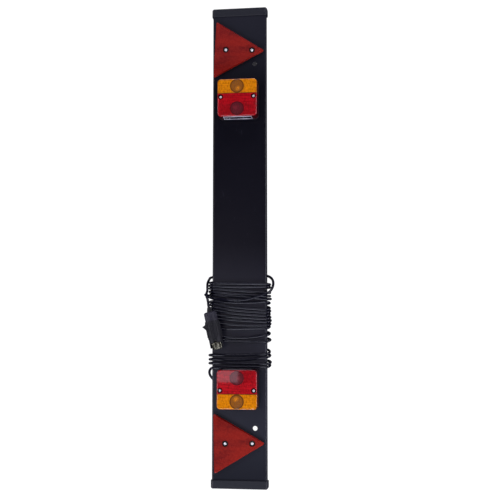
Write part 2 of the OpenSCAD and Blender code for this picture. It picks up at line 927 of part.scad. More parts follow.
// Grommets, cables and clips in the board's channel

module grommet(neck_d, bore) {
    grip = board_wall + base_floor;
    rotate_extrude()
        difference() {
            translate([0, -board_wall - flange_t])
                square([neck_d / 2 + flange_t, grip + 2 * flange_t]);
            translate([-1, -2 * grip])
                square([bore / 2 + 1, 4 * grip]);
            translate([neck_d / 2, -board_wall])
                square([2 * flange_t, grip]);
        }
}

module link_grommets() {
    color([0.1, 0.1, 0.1])
        for (side = [left, right])
            at_lamp(side)
                translate(link_hole)
                    grommet(link_neck_d, link_d);
}

module supply_grommet() {
    color([0.1, 0.1, 0.1])
        at_lamp(right)
            translate(supply_hole)
                grommet(supply_neck_d, cable_d);
}

module link_cable() {
    color([0.08, 0.08, 0.09])
        cable(link_route, link_d);
}

module link_clips() {
    color([0.85, 0.85, 0.82])
        for (i = [0:clip_count - 1])
            translate([link_x, (lamp_y - clip_from_lamp) * (2 * i / (clip_count - 1) - 1), link_z]) {
                rotate([90, 0, 0])
                    difference() {
                        cylinder(d = link_d + 2 * clip_t, h = clip_l, center = true);
                        cylinder(d = link_d, h = clip_l + 2, center = true);
                    }
                difference() {
                    translate([-clip_w / 2, -clip_l / 2, link_d / 2])
                        cube([clip_w, clip_l, clip_t]);
                    rotate([90, 0, 0])
                        cylinder(d = link_d, h = clip_l + 2, center = true);
                }
            }
}

module supply_cable() {
    color([0.08, 0.08, 0.09])
        cable(supply_route, cable_d);
}

module cord_clamp() {
    color([0.12, 0.12, 0.13])
        difference() {
            translate([clamp_at.x, clamp_at.y, wall_z - clamp_size.z / 2])
                cube(clamp_size, center = true);
            translate([clamp_at.x, clamp_at.y, clamp_hole_z])
                rotate([0, 90, 0])
                    cylinder(d = cable_d, h = clamp_size.x + 2, center = true);
            for (y = [-1, 1])
                translate([clamp_at.x, clamp_at.y + y * clamp_screw_y, 0])
                    cylinder(d = clamp_screw_d + 2 * hole_gap, h = face_z);
        }
}

module clamp_screws() {
    head_z = wall_z - clamp_size.z;
    color([0.75, 0.75, 0.78])
        for (y = [-1, 1])
            translate([clamp_at.x, clamp_at.y + y * clamp_screw_y, head_z]) {
                rotate([180, 0, 0])
                    pan_head(clamp_head_d, clamp_head_h);
                cylinder(d = clamp_screw_d, h = clamp_size.z + board_wall - 0.2);
            }
}

// The lead: a plain solid for each group of turns, and tubes for what isn't wound

module winding(low_y, l) {
    bulge = 2 * winding_bulge;
    color([0.1, 0.1, 0.12])
        translate([0, low_y + l / 2, 0])
            bar_along_board(l)
                difference() {
                    rounded_rect(board_w + bulge + 2 * cable_d, board_d + 2 * cable_d, turn_r + cable_d);
                    rounded_rect(board_w + bulge, board_d, turn_r);
                }
}

module small_winding() {
    winding(small_winding_y, small_winding_l);
}

module large_winding() {
    winding(large_winding_y, large_winding_l);
}

module cord_entry() {
    color([0.1, 0.1, 0.12])
        cable(entry_route, cable_d);
}

module cord_bridge() {
    color([0.1, 0.1, 0.12])
        cable(bridge_route, cable_d, [0, 0, 1]);
}

module cord_tail() {
    color([0.1, 0.1, 0.12])
        cable(tail_route, cable_d, [0, 0, 1], 8);
}

// The plug, drawn along +Z from the back of its collar, with Y upwards

module at_plug() {
    translate(plug_at)
        rotate([0, 0, plug_lean])
            rotate([90, 0, 0])
                children();
}

module plug_boot() {
    color([0.12, 0.12, 0.13])
        at_plug() {
            translate([0, 0, boot_inside - boot_l])
                cylinder(d1 = boot_tail_d, d2 = boot_neck_d, h = boot_l - boot_inside);
            cylinder(d = boot_neck_d, h = boot_inside);
        }
}

module plug_collar() {
    color([0.3, 0.3, 0.35])
        at_plug()
            difference() {
                union() {
                    cylinder(d1 = collar_d - 6, d2 = collar_d, h = 3);
                    translate([0, 0, 3])
                        cylinder(d = collar_d, h = collar_l - 3);
                }
                translate([0, 0, -1])
                    cylinder(d = boot_neck_d + 2 * plug_gap, h = boot_inside + 1);
                for (i = [0:collar_grooves - 1])
                    rotate([0, 0, 360 * (i + 0.5) / collar_grooves])
                        translate([collar_d / 2 + 1, 0, -1])
                            cylinder(d = 5, h = collar_l - 4);
            }
}

module plug_shell() {
    color([0.12, 0.12, 0.14])
        at_plug() {
            difference() {
                union() {
                    translate([0, 0, shell_z])
                        cylinder(d = plug_d - 2 * grip_h, h = plug_body_l);
                    for (i = [0:grip_ribs - 1])
                        rotate([0, 0, 360 * i / grip_ribs + 90])
                            translate([plug_d / 2 - grip_h, 0, shell_z + 4])
                                cylinder(r = grip_h, h = plug_body_l - 8);
                    translate([0, 0, shell_z + plug_body_l - 1])
                        cylinder(d = skirt_d, h = skirt_l + 1);
                    translate([0, 3, 0])
                        rotate([90, 0, 0])
                            linear_extrude(6)
                                polygon([
                                    [-plug_d / 2 + 2, shell_z + 6],
                                    [-plug_d / 2 - lug_h, shell_z + 10],
                                    [-plug_d / 2 + 2, shell_z + 22]
                                ]);
                }
                translate([0, 0, insert_z])
                    cylinder(d = bore_d, h = plug_mouth);
                translate([-keyway_w / 2, 0, skirt_z + 3])
                    cube([keyway_w, skirt_d, skirt_l]);
            }
        }
}

module at_pins() {
    children();
    for (i = [0:5])
        rotate([0, 0, 60 * i])
            translate([pin_circle_d / 2, 0, 0])
                children();
}

module plug_insert() {
    color([0.16, 0.16, 0.18])
        at_plug()
            difference() {
                translate([0, 0, insert_z])
                    cylinder(d = bore_d - 2 * plug_gap, h = insert_l);
                translate([0, 0, insert_z + 3])
                    at_pins()
                        cylinder(d = pin_d + 2 * thread_gap, h = insert_l);
            }
}

module plug_pins() {
    color([0.85, 0.78, 0.5])
        at_plug()
            at_pins() {
                translate([0, 0, insert_z + 3])
                    cylinder(d = pin_d, h = plug_mouth + pin_proud - pin_d / 2 - insert_z - 3);
                translate([0, 0, plug_mouth + pin_proud - pin_d / 2])
                    sphere(d = pin_d);
            }
}

board();
end_cap(left);  // left_end_cap
end_cap(right);  // right_end_cap
reflector_backing(left);  // left_reflector_backing
reflector_lens(left);  // left_reflector_lens
reflector_backing(right);  // right_reflector_backing
reflector_lens(right);  // right_reflector_lens
reflector_screws();
reflector_nuts();
lamp_base(left);  // left_lamp_base
lens_seal(left);  // left_lens_seal
red_lens(left);  // left_red_lens
amber_lens(left);  // left_amber_lens
plate_window(left);  // left_plate_window
bulb_holders(left);  // left_bulb_holders
indicator_bulb(left);  // left_indicator_bulb
stop_tail_bulb(left);  // left_stop_tail_bulb
terminal_block(left);  // left_terminal_block
lamp_base(right);  // right_lamp_base
lens_seal(right);  // right_lens_seal
red_lens(right);  // right_red_lens
amber_lens(right);  // right_amber_lens
plate_window(right);  // right_plate_window
bulb_holders(right);  // right_bulb_holders
indicator_bulb(right);  // right_indicator_bulb
stop_tail_bulb(right);  // right_stop_tail_bulb
terminal_block(right);  // right_terminal_block
lens_screws();
lamp_bolts();
lamp_nuts();
link_grommets();
supply_grommet();
link_cable();
link_clips();
supply_cable();
cord_clamp();
clamp_screws();
cord_entry();
small_winding();
cord_bridge();
large_winding();
cord_tail();
plug_boot();
plug_collar();
plug_shell();
plug_insert();
plug_pins();
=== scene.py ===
# %% [markdown]
# # A trailer lighting board with its lead wound round it
# The object is a long black plastic board that hangs on the back of a trailer. It carries two square
# rear lamps, two red triangles and a seven-core lead, which is wound round the board for storage.
# The exact solids come from a CAD model. This script gives them their finishes, and adds what a CAD
# solid leaves plain: the turns of the lead, the optics of the lenses, the glass and wires of the
# bulbs, screw heads and softened edges. Everything is in metres, in the frame of the CAD model: the
# board lies on its back, X runs across it, Y along it, and Z is the way that its lamps face.

# %% Load the frame
import math
import random

import bmesh
import bpy
from mathutils import Matrix, Vector


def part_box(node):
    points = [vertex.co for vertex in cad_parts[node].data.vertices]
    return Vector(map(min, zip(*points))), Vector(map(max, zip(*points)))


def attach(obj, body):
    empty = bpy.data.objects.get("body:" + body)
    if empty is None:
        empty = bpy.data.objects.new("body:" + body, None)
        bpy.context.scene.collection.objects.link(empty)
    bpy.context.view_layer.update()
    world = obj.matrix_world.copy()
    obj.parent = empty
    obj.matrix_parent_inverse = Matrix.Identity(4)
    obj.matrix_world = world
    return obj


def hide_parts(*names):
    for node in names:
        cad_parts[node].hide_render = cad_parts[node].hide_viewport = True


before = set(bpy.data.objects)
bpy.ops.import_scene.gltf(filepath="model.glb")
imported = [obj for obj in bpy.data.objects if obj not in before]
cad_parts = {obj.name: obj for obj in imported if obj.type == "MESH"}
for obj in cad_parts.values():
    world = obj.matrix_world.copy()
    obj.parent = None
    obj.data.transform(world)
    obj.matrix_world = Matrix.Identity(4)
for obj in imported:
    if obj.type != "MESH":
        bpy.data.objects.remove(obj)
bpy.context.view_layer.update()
MM = 0.001
BODY = "root"
SIDES = ((1, "left"), (-1, "right"))


def add_object(name, data):
    obj = bpy.data.objects.new(name, data)
    bpy.context.collection.objects.link(obj)
    return obj


# %% [markdown]
# ## The camera
# The photograph looks almost straight at the board, a little from its right and from below, and
# the board fills the height of the picture. The lens and the place of the camera were fitted
# to the corners of the board, the lamps and the triangles.

# %% Place the camera
camera_data = bpy.data.cameras.new("camera")
camera_data.lens = 62.73
camera_data.sensor_width = 36
camera = add_object("camera", camera_data)
camera.location = (0.30734, -0.20892, 2.21195)
camera.rotation_euler = (0.08647, 0.1276, -0.0004)
bpy.context.scene.camera = camera
bpy.context.scene.view_settings.view_transform = "Standard"
print("camera height", camera.location.z)

# %% [markdown]
# ## The lead
# A seven-core lead is one length of soft cable, so it is one curve here. It leaves its clamp behind
# the board, goes round it about twenty times in two groups, crosses over the larger group, hangs
# out in a slack loop at each long edge and rises into its plug. Its route is a list of points, with
# the part that repeats, a turn round the board, made by a function. The tables are in millimetres,
# which become metres where the curve is built.

# %% Sizes that the lead is wound round
LEAD_D = 6.5
LEAD_R = LEAD_D / 2
BOARD_LOW, BOARD_HIGH = 6.5, 28.5
BOARD_MIDDLE = (BOARD_LOW + BOARD_HIGH) / 2
TURN_X, TURN_R = 64.5, 7.5
EDGE_STRAIGHT = 3.5
LEFT, RIGHT = -1, 1
SMALL_GROUP_Y, LARGE_GROUP_TOP_Y = -313.5, -99.0
FRONT_Z, REAR_Z = BOARD_HIGH + LEAD_R, LEAD_R
turn_length = 2 * (2 * TURN_X + math.pi * (TURN_R + LEAD_R) + 2 * EDGE_STRAIGHT)
print("a turn is", round(turn_length), "mm long")

# %% [markdown]
# Most stretches that aren't wound are plain points. Those that go round a long edge of the board
# are rows of three numbers: the angle from the edge's middle, the height over the inside of the
# turn, and the distance along the board.

# %% The stretches that aren't wound
ENTRY = [(-36, -347.5, 11.5), (-37.5, -347.5, 11.5), (-41, -347.5, 11), (-44.2, -347.5, 9.6),
         (-47, -347.5, 7.4), (-49.8, -347.5, 5.1), (-53, -347.5, 3.7), (-56.5, -347.5, 3.25)]
ENTRY_TURN = [(-90, 3.25, -33), (-61, 3.7, -31), (-34, 4, -26.5), (-11, 5.2, -21), (0, 5.9, -14.5),
              (5, 4.5, -8.5), (34, 3.3, -4.5), (63, 3.5, -2), (90, 3.25, -1)]
REAR_JUMP = [(64.5, -153.5, 3.25), (57, -153.4, 3.4), (45, -152.4, 6.6), (33, -148.5, 9.6),
             (15, -138, 10.1), (0, -125, 10.1), (-15, -112.5, 10.1), (-33, -102, 9.6),
             (-45, -98.9, 6.6), (-57, -98.3, 3.4), (-64.5, -98.3, 3.25)]
OVER_TURN = [(-90, 3.25, 0), (-62, 4.7, 2), (-38, 10, 6), (-16, 14.5, 9.4), (2, 16.3, 10.4),
             (22, 15.2, 8.6), (42, 11.5, 4.8), (62, 7, 1.6)]
OVER = [(-64.5, -140.8, 31.75), (-54, -141.6, 32.2), (-43, -142.6, 34.3), (-30, -144, 36.8),
        (-15, -145.2, 37.9), (2, -145.6, 38.2), (20, -143.6, 38.25), (40, -138.5, 38.25),
        (55, -133.4, 38.25)]
RIGHT_LOOP = [(90, 9.75, -31.3), (62, 10.3, -28.5), (36, 11.5, -22.5), (13, 12.8, -13.5),
              (0, 13.3, -3.5), (-8, 11.4, 5), (-27, 8.2, 11), (-53, 4.9, 15), (-90, 3.25, 17)]
BEHIND = [(32, -82.6, 3.25), (0, -83.2, 3.25), (-32, -83.9, 3.25)]
LEFT_LOOP = [(-90, 3.25, 14.5), (-60, 4.8, 14), (-32, 9.3, 12), (-20, 10.3, 7), (-6, 11.3, 1.7),
             (0, 11.8, -4.2), (6, 11.2, -10.9), (25, 11.6, -19.6), (33, 13.6, -24.9)]
BOOT_TAIL = (-73.58, -163.28, 54.0)
RISE = [(-9, 33.9, -15), (-8, 29, -11), (-6, 24.4, -7.3), (-3.9, 19.2, -4.2), (-2.4, 13.6, -1.9),
        (-1.7, 8, -0.5), (-0.9, 4, 0), (0, 0, 0)]


def round_edge(side, rows, y):
    """Points round a long edge from rows of angle, height over the turn's inside, and distance from y."""
    points = []
    for angle, out, along in rows:
        a = math.radians(angle)
        straight = math.copysign(EDGE_STRAIGHT, angle) if angle else 0
        points.append((side * (TURN_X + (TURN_R + out) * math.cos(a)), y + along,
                       BOARD_MIDDLE + straight + (TURN_R + out) * math.sin(a)))
    return points


print("the left loop turns from", round_edge(LEFT, LEFT_LOOP, LARGE_GROUP_TOP_Y)[0])

# %% [markdown]
# A strand on the board's face is three places: its y at the left edge, in the middle and at the
# right edge. Round the edges and behind the board each turn slants on to the next strand, and it
# stands off the edges by a little slack, drawn at random from a fixed seed.

# %% The turns, in the order in which they were wound
STRAND_X = (-62, 2, 61)
STRANDS = [
    (-314.5, -312.2, -312.2), (-302.5, -303.9, -304.6), (-293, -294.9, -288.5),
    (-282.4, -283.2, -280.5), (-243.3, -247.9, -248.8), (-233.2, -240.1, -233.6),
    (-218.6, -217.1, -215.8), (-202.7, -207.8, -208.5), (-191.8, -196.2, -200),
    (-183.2, -188.9, -192), (-171.6, -180.3, -184), (-164.3, -172.3, -176.2),
    (-155.4, -164.4, -168.9), (-148, -151.5, -150), (-102.3, -103.5, -104.6),
    (-109.7, -112.1, -111.7), (-116.8, -121.7, -126.3), (-124.9, -130.6, -134.9),
    (-132.3, -137.2, -141.8)]
JUMPS_AFTER = 13
FRONT_STATIONS = (-TURN_X, -43, -21, 0, 21, 43, TURN_X)
REAR_STATIONS = (TURN_X, 57, 32, 0, -32, -57, -TURN_X)
EDGE_ANGLES = (60, 30, 0, -30, -60)
UP_SLANTS, DOWN_SLANTS = (7.0, 3.0), (-4.0, -4.0)
SLANT_SHARE, MOST_SLANT = 0.3, 10.0
MOST_BULGE = 3.0
slack = random.Random(11)


def strand_y(strand, x):
    """The y of a strand at x, on the parabola through its three places."""
    y = 0
    for i, (x0, y0) in enumerate(zip(STRAND_X, strand)):
        x1, x2 = (other for j, other in enumerate(STRAND_X) if j != i)
        y += y0 * (x - x1) * (x - x2) / ((x0 - x1) * (x0 - x2))
    return y


def slack_edge(side, from_y, to_y, angles):
    """Round an edge, slanting along the board on the way, and standing off it by a little slack."""
    bulge = slack.uniform(0, MOST_BULGE)
    first, last = angles[0], angles[-1]
    return round_edge(side, [(a, LEAD_R + bulge * math.cos(math.radians(a)),
                              from_y + (to_y - from_y) * (a - first) / (last - first)) for a in angles], 0)


def one_turn(strand, next_y, slants, rear):
    """Across the face from left to right, round the right edge, back behind the board, round the left."""
    right_y = strand_y(strand, TURN_X)
    right_slant, left_slant = slants
    right_slant = max(right_slant, min(MOST_SLANT, SLANT_SHARE * (next_y - right_y)))
    points = [(x, strand_y(strand, x), FRONT_Z) for x in FRONT_STATIONS]
    if rear:
        return points + slack_edge(RIGHT, right_y, rear[0][1], EDGE_ANGLES) + rear + slack_edge(
            LEFT, rear[-1][1], next_y, EDGE_ANGLES[::-1])
    low_y, high_y = right_y + right_slant, next_y - left_slant
    points += slack_edge(RIGHT, right_y, low_y, EDGE_ANGLES)
    points += [(x, low_y + (high_y - low_y) * (TURN_X - x) / (2 * TURN_X), REAR_Z) for x in REAR_STATIONS]
    return points + slack_edge(LEFT, high_y, next_y, EDGE_ANGLES[::-1])


def lead_route():
    points = ENTRY + round_edge(LEFT, ENTRY_TURN, SMALL_GROUP_Y)
    for i, strand in enumerate(STRANDS):
        is_last = i == len(STRANDS) - 1
        next_y = OVER[0][1] if is_last else strand_y(STRANDS[i + 1], -TURN_X)
        slants = UP_SLANTS if i < JUMPS_AFTER else (DOWN_SLANTS[0], 0) if is_last else DOWN_SLANTS
        turn = one_turn(strand, next_y, slants, REAR_JUMP if i == JUMPS_AFTER else None)
        points += turn[:-len(EDGE_ANGLES) - 1] if is_last else turn
    points += round_edge(LEFT, OVER_TURN, OVER[0][1]) + OVER
    points += round_edge(RIGHT, RIGHT_LOOP, LARGE_GROUP_TOP_Y) + BEHIND
    points += round_edge(LEFT, LEFT_LOOP, LARGE_GROUP_TOP_Y)
    points += [tuple(e + d for e, d in zip(BOOT_TAIL, p)) for p in RISE]
    return [Vector(p) * MM for p in points]


route = lead_route()
print("turns", len(STRANDS), "points on the route", len(route))

# %% [markdown]
# A smooth curve has to pass through every point of the route without swinging wide between them.
# A centripetal Catmull-Rom curve does that, also where short steps follow long ones, which is where a
# plain Bezier curve would bulge. It is sampled every few millimetres into a curve of straight
# steps, and the curve's round bevel makes the sheath. The points hold the radius, because
# a curve object's box grows by it.

# %% Smooth a route
def smooth(points, step):
    """Points about a step apart, on the centripetal Catmull-Rom curve through the given ones."""
    padded = [2 * points[0] - points[1], *points, 2 * points[-1] - points[-2]]
    out = []
    for p0, p1, p2, p3 in zip(padded, padded[1:], padded[2:], padded[3:]):
        t1 = (p1 - p0).length ** 0.5
        t2 = t1 + (p2 - p1).length ** 0.5
        t3 = t2 + (p3 - p2).length ** 0.5
        count = max(1, round((p2 - p1).length / step))
        for k in range(count):
            t = t1 + (t2 - t1) * k / count
            a1 = p0.lerp(p1, t / t1)
            a2 = p1.lerp(p2, (t - t1) / (t2 - t1))
            a3 = p2.lerp(p3, (t - t2) / (t3 - t2))
            b1 = a1.lerp(a2, t / t2)
            b2 = a2.lerp(a3, (t - t1) / (t3 - t1))
            out.append(b1.lerp(b2, (t - t1) / (t2 - t1)))
    return out + [points[-1]]


def tube(name, points, radius, sides):
    """A round tube along points, as a curve object. Its points hold the radius, which keeps its box true."""
    data = bpy.data.curves.new(name, "CURVE")
    data.dimensions = "3D"
    data.bevel_depth = 1.0
    data.bevel_resolution = (sides - 4) // 2
    data.use_fill_caps = True
    spline = data.splines.new("POLY")
    spline.points.add(len(points) - 1)
    for point, at in zip(spline.points, points):
        point.co = (*at, 1)
        point.radius = radius
    spline.use_smooth = True
    return add_object(name, data)


lead_line = smooth(route, 3 * MM)
lead = tube("lead", lead_line, LEAD_R * MM, sides=10)

# %% [markdown]
# ## The studio
# The photograph has a plain white ground, light from wide soft boxes at the sides, and darkness behind
# the camera: that is why the flat black face of the board stays nearly black, while its edges, which
# tilt towards the sides, are pale. So the world is dark overhead and bright at the horizon, and the
# lamps stand low at the sides. The floor is dark to the lamps' light, which keeps the undersides of
# the lead and the board dark, and it glows white for the camera alone.

# %% A helper that places nodes
class Nodes:
    """Puts nodes into a tree. A socket takes a number, a colour or another node's output."""

    def __init__(self, tree):
        self.tree = tree

    def put(self, value, socket):
        if isinstance(value, bpy.types.NodeSocket):
            self.tree.links.new(value, socket)
        else:
            socket.default_value = (*value, 1) if socket.type == "RGBA" else value

    def node(self, kind, inputs=None, **settings):
        made = self.tree.nodes.new(kind)
        for key, value in settings.items():
            setattr(made, key, value)
        for key, value in (inputs or {}).items():
            self.put(value, made.inputs[key])
        return made

    def out(self, kind, inputs=None, **settings):
        return self.node(kind, inputs, **settings).outputs[0]

    def math(self, operation, *values):
        return self.out("ShaderNodeMath", dict(enumerate(values)), operation=operation)

    def times(self, a, b):
        return self.math("MULTIPLY", a, b)

    def less(self, a, b):
        return self.math("SUBTRACT", a, b)

    def times_plus(self, a, b, c):
        return self.math("MULTIPLY_ADD", a, b, c)

    def ramp(self, value, low, high, start=0.0, end=1.0):
        """start below low and end above high, or the other way round where low is the greater."""
        return self.out("ShaderNodeMapRange", {0: value, 1: low, 2: high, 3: start, 4: end})

    def tent(self, value, pitch):
        """A ridge between 0 and 1 that repeats every pitch."""
        return self.math("DIVIDE", self.math("PINGPONG", value, pitch), pitch)

    def split(self, vector):
        return self.node("ShaderNodeSeparateXYZ", {0: vector}).outputs

    def stretch(self, vector, by):
        return self.out("ShaderNodeVectorMath", {0: vector, 1: by}, operation="MULTIPLY")

    def distance(self, x, y):
        return self.math("SQRT", self.times_plus(x, x, self.times(y, y)))

    def noise(self, at, scale, detail=2.0, roughness=0.5, output=0):
        inputs = {"Vector": at, "Scale": scale, "Detail": detail, "Roughness": roughness}
        return self.node("ShaderNodeTexNoise", inputs).outputs[output]

    def mix(self, factor, a, b):
        return self.node("ShaderNodeMix", {0: factor, 6: a, 7: b}, data_type="RGBA").outputs[2]

    def paint(self, colour, *layers):
        """Lays colours over the first one, each as far as its mask says."""
        for mask, over in layers:
            colour = self.mix(mask, colour, over)
        return colour

    def bump(self, height, strength, depth):
        """The surface raised by height, by up to depth in mm."""
        return self.out("ShaderNodeBump", {"Height": height, "Strength": strength, "Distance": depth * MM})

    def coords(self, kind="Object"):
        return self.node("ShaderNodeTexCoord").outputs[kind]

    def principled(self, **inputs):
        """Fills inputs of the material's shader, with _ for each space in their names."""
        for name, value in inputs.items():
            self.put(value, self.tree.nodes["Principled BSDF"].inputs[name.replace("_", " ")])


print("helper", Nodes.__name__, "ready")

# %% World and floor
FLOOR_Z, FLOOR_HALF = -0.5 * MM, 9
WHITE = (1, 1, 1)
WORLD_LOW, WORLD_HIGH = (0.16, 0.158, 0.20), (0.0045, 0.0043, 0.0085)
FLOOR_GREY = (0.12, 0.12, 0.125)

world = bpy.data.worlds.new("studio")
bpy.context.scene.world = world
world.use_nodes = True
world.node_tree.nodes.clear()
sky = Nodes(world.node_tree)
height = sky.ramp(sky.split(sky.coords("Generated"))[2], 0.1, 0.72)
ambient = sky.out("ShaderNodeBackground", {0: sky.mix(height, WORLD_LOW, WORLD_HIGH)})
seen = sky.out("ShaderNodeBackground", {0: WHITE})
is_camera = sky.node("ShaderNodeLightPath").outputs["Is Camera Ray"]
surface = sky.out("ShaderNodeMixShader", {0: is_camera, 1: ambient, 2: seen})
sky.node("ShaderNodeOutputWorld", {0: surface})

floor_mesh = bpy.data.meshes.new("floor")
corners = [(x * FLOOR_HALF, y * FLOOR_HALF, FLOOR_Z) for x, y in ((-1, -1), (1, -1), (1, 1), (-1, 1))]
floor_mesh.from_pydata(corners, [], [(0, 1, 2, 3)])
floor = add_object("floor", floor_mesh)
paper = bpy.data.materials.new("white paper")
paper.use_nodes = True
paper.node_tree.nodes.clear()
t = Nodes(paper.node_tree)
glow = t.node("ShaderNodeLightPath").outputs["Is Camera Ray"]
both = t.out("ShaderNodeAddShader", {0: t.out("ShaderNodeBsdfDiffuse", {0: FLOOR_GREY}),
                                     1: t.out("ShaderNodeEmission", {0: WHITE, 1: glow})})
below = t.node("ShaderNodeNewGeometry").outputs["Backfacing"]
clear = t.out("ShaderNodeBsdfTransparent")
t.node("ShaderNodeOutputMaterial", {0: t.out("ShaderNodeMixShader", {0: below, 1: both, 2: clear})})
floor_mesh.materials.append(paper)
print("floor at", FLOOR_Z)

# %% [markdown]
# Four soft boxes stand round the object. Four faint panels hang overhead. They add next to nothing to
# the light, but the glossy faces mirror them: one gives the lower lamp its pale patch with an
# upright edge, and the others the soft sheen on the board's ends and along its right edge.

# %% Lamps
PANEL_Z = 2.5


def soft_box(name, at, size, power, colour, aim=(0, 0, 0)):
    data = bpy.data.lights.new(name, "AREA")
    data.shape = "RECTANGLE"
    data.size, data.size_y = size
    data.energy = power
    data.color = colour
    obj = add_object(name, data)
    obj.location = at
    obj.rotation_euler = (Vector(aim) - Vector(at)).to_track_quat("-Z", "Y").to_euler()


def panel(name, x_low, x_high, y_low, y_high, radiance, colour):
    """A downward panel: an area lamp's power is its brightness times pi times its area."""
    size = (x_high - x_low, y_high - y_low)
    middle = ((x_low + x_high) / 2, (y_low + y_high) / 2)
    power = radiance * math.pi * size[0] * size[1]
    soft_box(name, (*middle, PANEL_Z), size, power, colour, aim=(*middle, 0))


soft_box("right box", (2.5, -0.1, 1.25), (2.4, 0.9), 56, (0.94, 0.93, 1.08))
soft_box("left box", (-2.5, -0.1, 1.3), (2.4, 0.9), 46, (0.97, 0.96, 1.06))
soft_box("top box", (0.2, 2.8, 1.5), (1.6, 1.0), 29, (0.95, 0.95, 1.1))
soft_box("bottom box", (-0.1, -2.7, 1.5), (1.8, 1.0), 62, (0.93, 0.95, 1.08))
panel("patch panel", -1.0, -0.343, -0.505, 0.2, 2.1, (1.0, 0.9, 1.04))
panel("low panel", -0.7, 0.1, -1.7, -0.72, 0.36, (0.7, 1.0, 1.1))
panel("high panel", -0.7, 0.1, 1.22, 1.9, 0.32, (0.95, 0.93, 1.2))
panel("edge panel", -0.20, 0.3, 0.1, 0.9, 0.5, (0.93, 0.93, 1.2))

# %% [markdown]
# ## Finishes that several pieces share
# Moulded and extruded plastic is never one flat colour. Its gloss changes a little from place to
# place, the mould or the die leaves a fine grain in it, and handling leaves pale scuffs. One shader
# node group makes all three as plain values, and each material decides how strongly it uses them.
# The pattern reads Object coordinates, so it stays on the piece in every view.

# %% Node group: moulded surface
def new_group(name, inputs, outputs):
    """A shader group with float or vector inputs, given as name: default, and named float outputs."""
    tree = bpy.data.node_groups.new(name, "ShaderNodeTree")
    for label, value in inputs.items():
        kind = "NodeSocketVector" if isinstance(value, tuple) else "NodeSocketFloat"
        tree.interface.new_socket(label, in_out="INPUT", socket_type=kind).default_value = value
    for label in outputs:
        tree.interface.new_socket(label, in_out="OUTPUT", socket_type="NodeSocketFloat")
    return Nodes(tree), tree.nodes.new("NodeGroupInput").outputs, tree.nodes.new("NodeGroupOutput").inputs


def moulded_surface_group():
    t, given, result = new_group(
        "moulded surface",
        {"Vector": (0.0, 0.0, 0.0), "Stretch": (1.0, 1.0, 1.0), "Grain Scale": 900.0, "Scuff Scale": 60.0},
        ("Grain", "Tone", "Scuffs"))
    place = given["Vector"]
    stretched = t.stretch(place, given["Stretch"])
    bent = t.noise(place, 14.0, output=1)
    swept = t.out("ShaderNodeVectorMath", {0: bent, 1: (0.09, 0.09, 0.09), 2: place}, operation="MULTIPLY_ADD")
    lines = t.noise(t.stretch(swept, (5.0, 0.35, 5.0)), given["Scuff Scale"])
    where = t.noise(place, 22.0)
    t.put(t.noise(stretched, given["Grain Scale"], 3.0, 0.6), result["Grain"])
    t.put(t.noise(stretched, 9.0, 4.0), result["Tone"])
    t.put(t.times(t.ramp(lines, 0.66, 0.76), t.ramp(where, 0.5, 0.68)), result["Scuffs"])
    return t.tree


MOULDED = moulded_surface_group()
print("group", MOULDED.name, "gives", [s.name for s in MOULDED.interface.items_tree if s.in_out == "OUTPUT"])

# %% [markdown]
# A plastic is then a dark and a light shade of one colour with that group between them. The same
# function serves the extruded board, where the grain is drawn out into streaks along Y, the eroded
# texture of the end caps and the smooth skin of the lead.

# %% Plastic and rubber finishes
MATERIALS = {}
SCUFF_GREY = (0.09, 0.095, 0.1)


def new_material(name):
    made = MATERIALS[name] = bpy.data.materials.new(name)
    made.use_nodes = True
    return Nodes(made.node_tree)


def surface_marks(t, stretch, grain_scale):
    """The moulded surface's grain, tone and scuffs, on the piece's own coordinates."""
    inputs = {"Vector": t.coords(), "Stretch": stretch, "Grain Scale": grain_scale}
    return t.node("ShaderNodeGroup", inputs, node_tree=MOULDED).outputs


def plastic(name, dark, light, roughness, grain, stretch=(1, 1, 1), grain_scale=900.0, scuffs=0.5,
            scuff_colour=SCUFF_GREY, **constants):
    """Moulded plastic between two shades of its colour. The grain is the bump's depth in mm."""
    t = new_material(name)
    marks = surface_marks(t, stretch, grain_scale)
    colour = t.paint(dark, (marks["Tone"], light), (t.times(marks["Scuffs"], scuffs), scuff_colour))
    worn = t.times_plus(marks["Scuffs"], 0.18, roughness)
    uneven = t.times_plus(marks["Grain"], 0.12, -0.06)
    t.principled(Base_Color=colour, Roughness=t.math("ADD", worn, uneven),
                 Normal=t.bump(marks["Grain"], 1.0, grain), **constants)
    return t


plastic("cap plastic", (0.0030, 0.0040, 0.0090), (0.0056, 0.0068, 0.0120), 0.50, 0.10, grain_scale=1400.0)
plastic("lamp base plastic", (0.0034, 0.0034, 0.0064), (0.0060, 0.0060, 0.0095), 0.38, 0.03)
plastic("backing plastic", (0.0050, 0.0050, 0.0055), (0.0080, 0.0080, 0.0088), 0.42, 0.03)
plastic("clamp and boss plastic", (0.0060, 0.0060, 0.0066), (0.0100, 0.0100, 0.0110), 0.48, 0.05)
plastic("foam seal", (0.0060,) * 3, (0.0160,) * 3, 0.92, 0.25, grain_scale=1800.0, scuffs=0)
plastic("black rubber", (0.0070, 0.0070, 0.0074), (0.0120, 0.0120, 0.0126), 0.62, 0.05, grain_scale=1600.0,
        scuffs=0.3)
plastic("lead sheath", (0.0030, 0.0030, 0.0082), (0.0050, 0.0050, 0.0112), 0.24, 0.02, grain_scale=1100.0,
        scuffs=0.3, scuff_colour=(0.03, 0.032, 0.042), Specular_IOR_Level=0.30)
plastic("white nylon", (0.66, 0.66, 0.63), (0.74, 0.74, 0.71), 0.42, 0.03, scuff_colour=(0.5, 0.49, 0.46))
plastic("terminal nylon", (0.60, 0.59, 0.54), (0.68, 0.67, 0.62), 0.45, 0.03, scuff_colour=(0.45, 0.44, 0.4))
plastic("plug plastic", (0.0040, 0.0038, 0.0064), (0.0064, 0.0060, 0.0092), 0.62, 0.10, grain_scale=1100.0,
        Specular_IOR_Level=0.32)
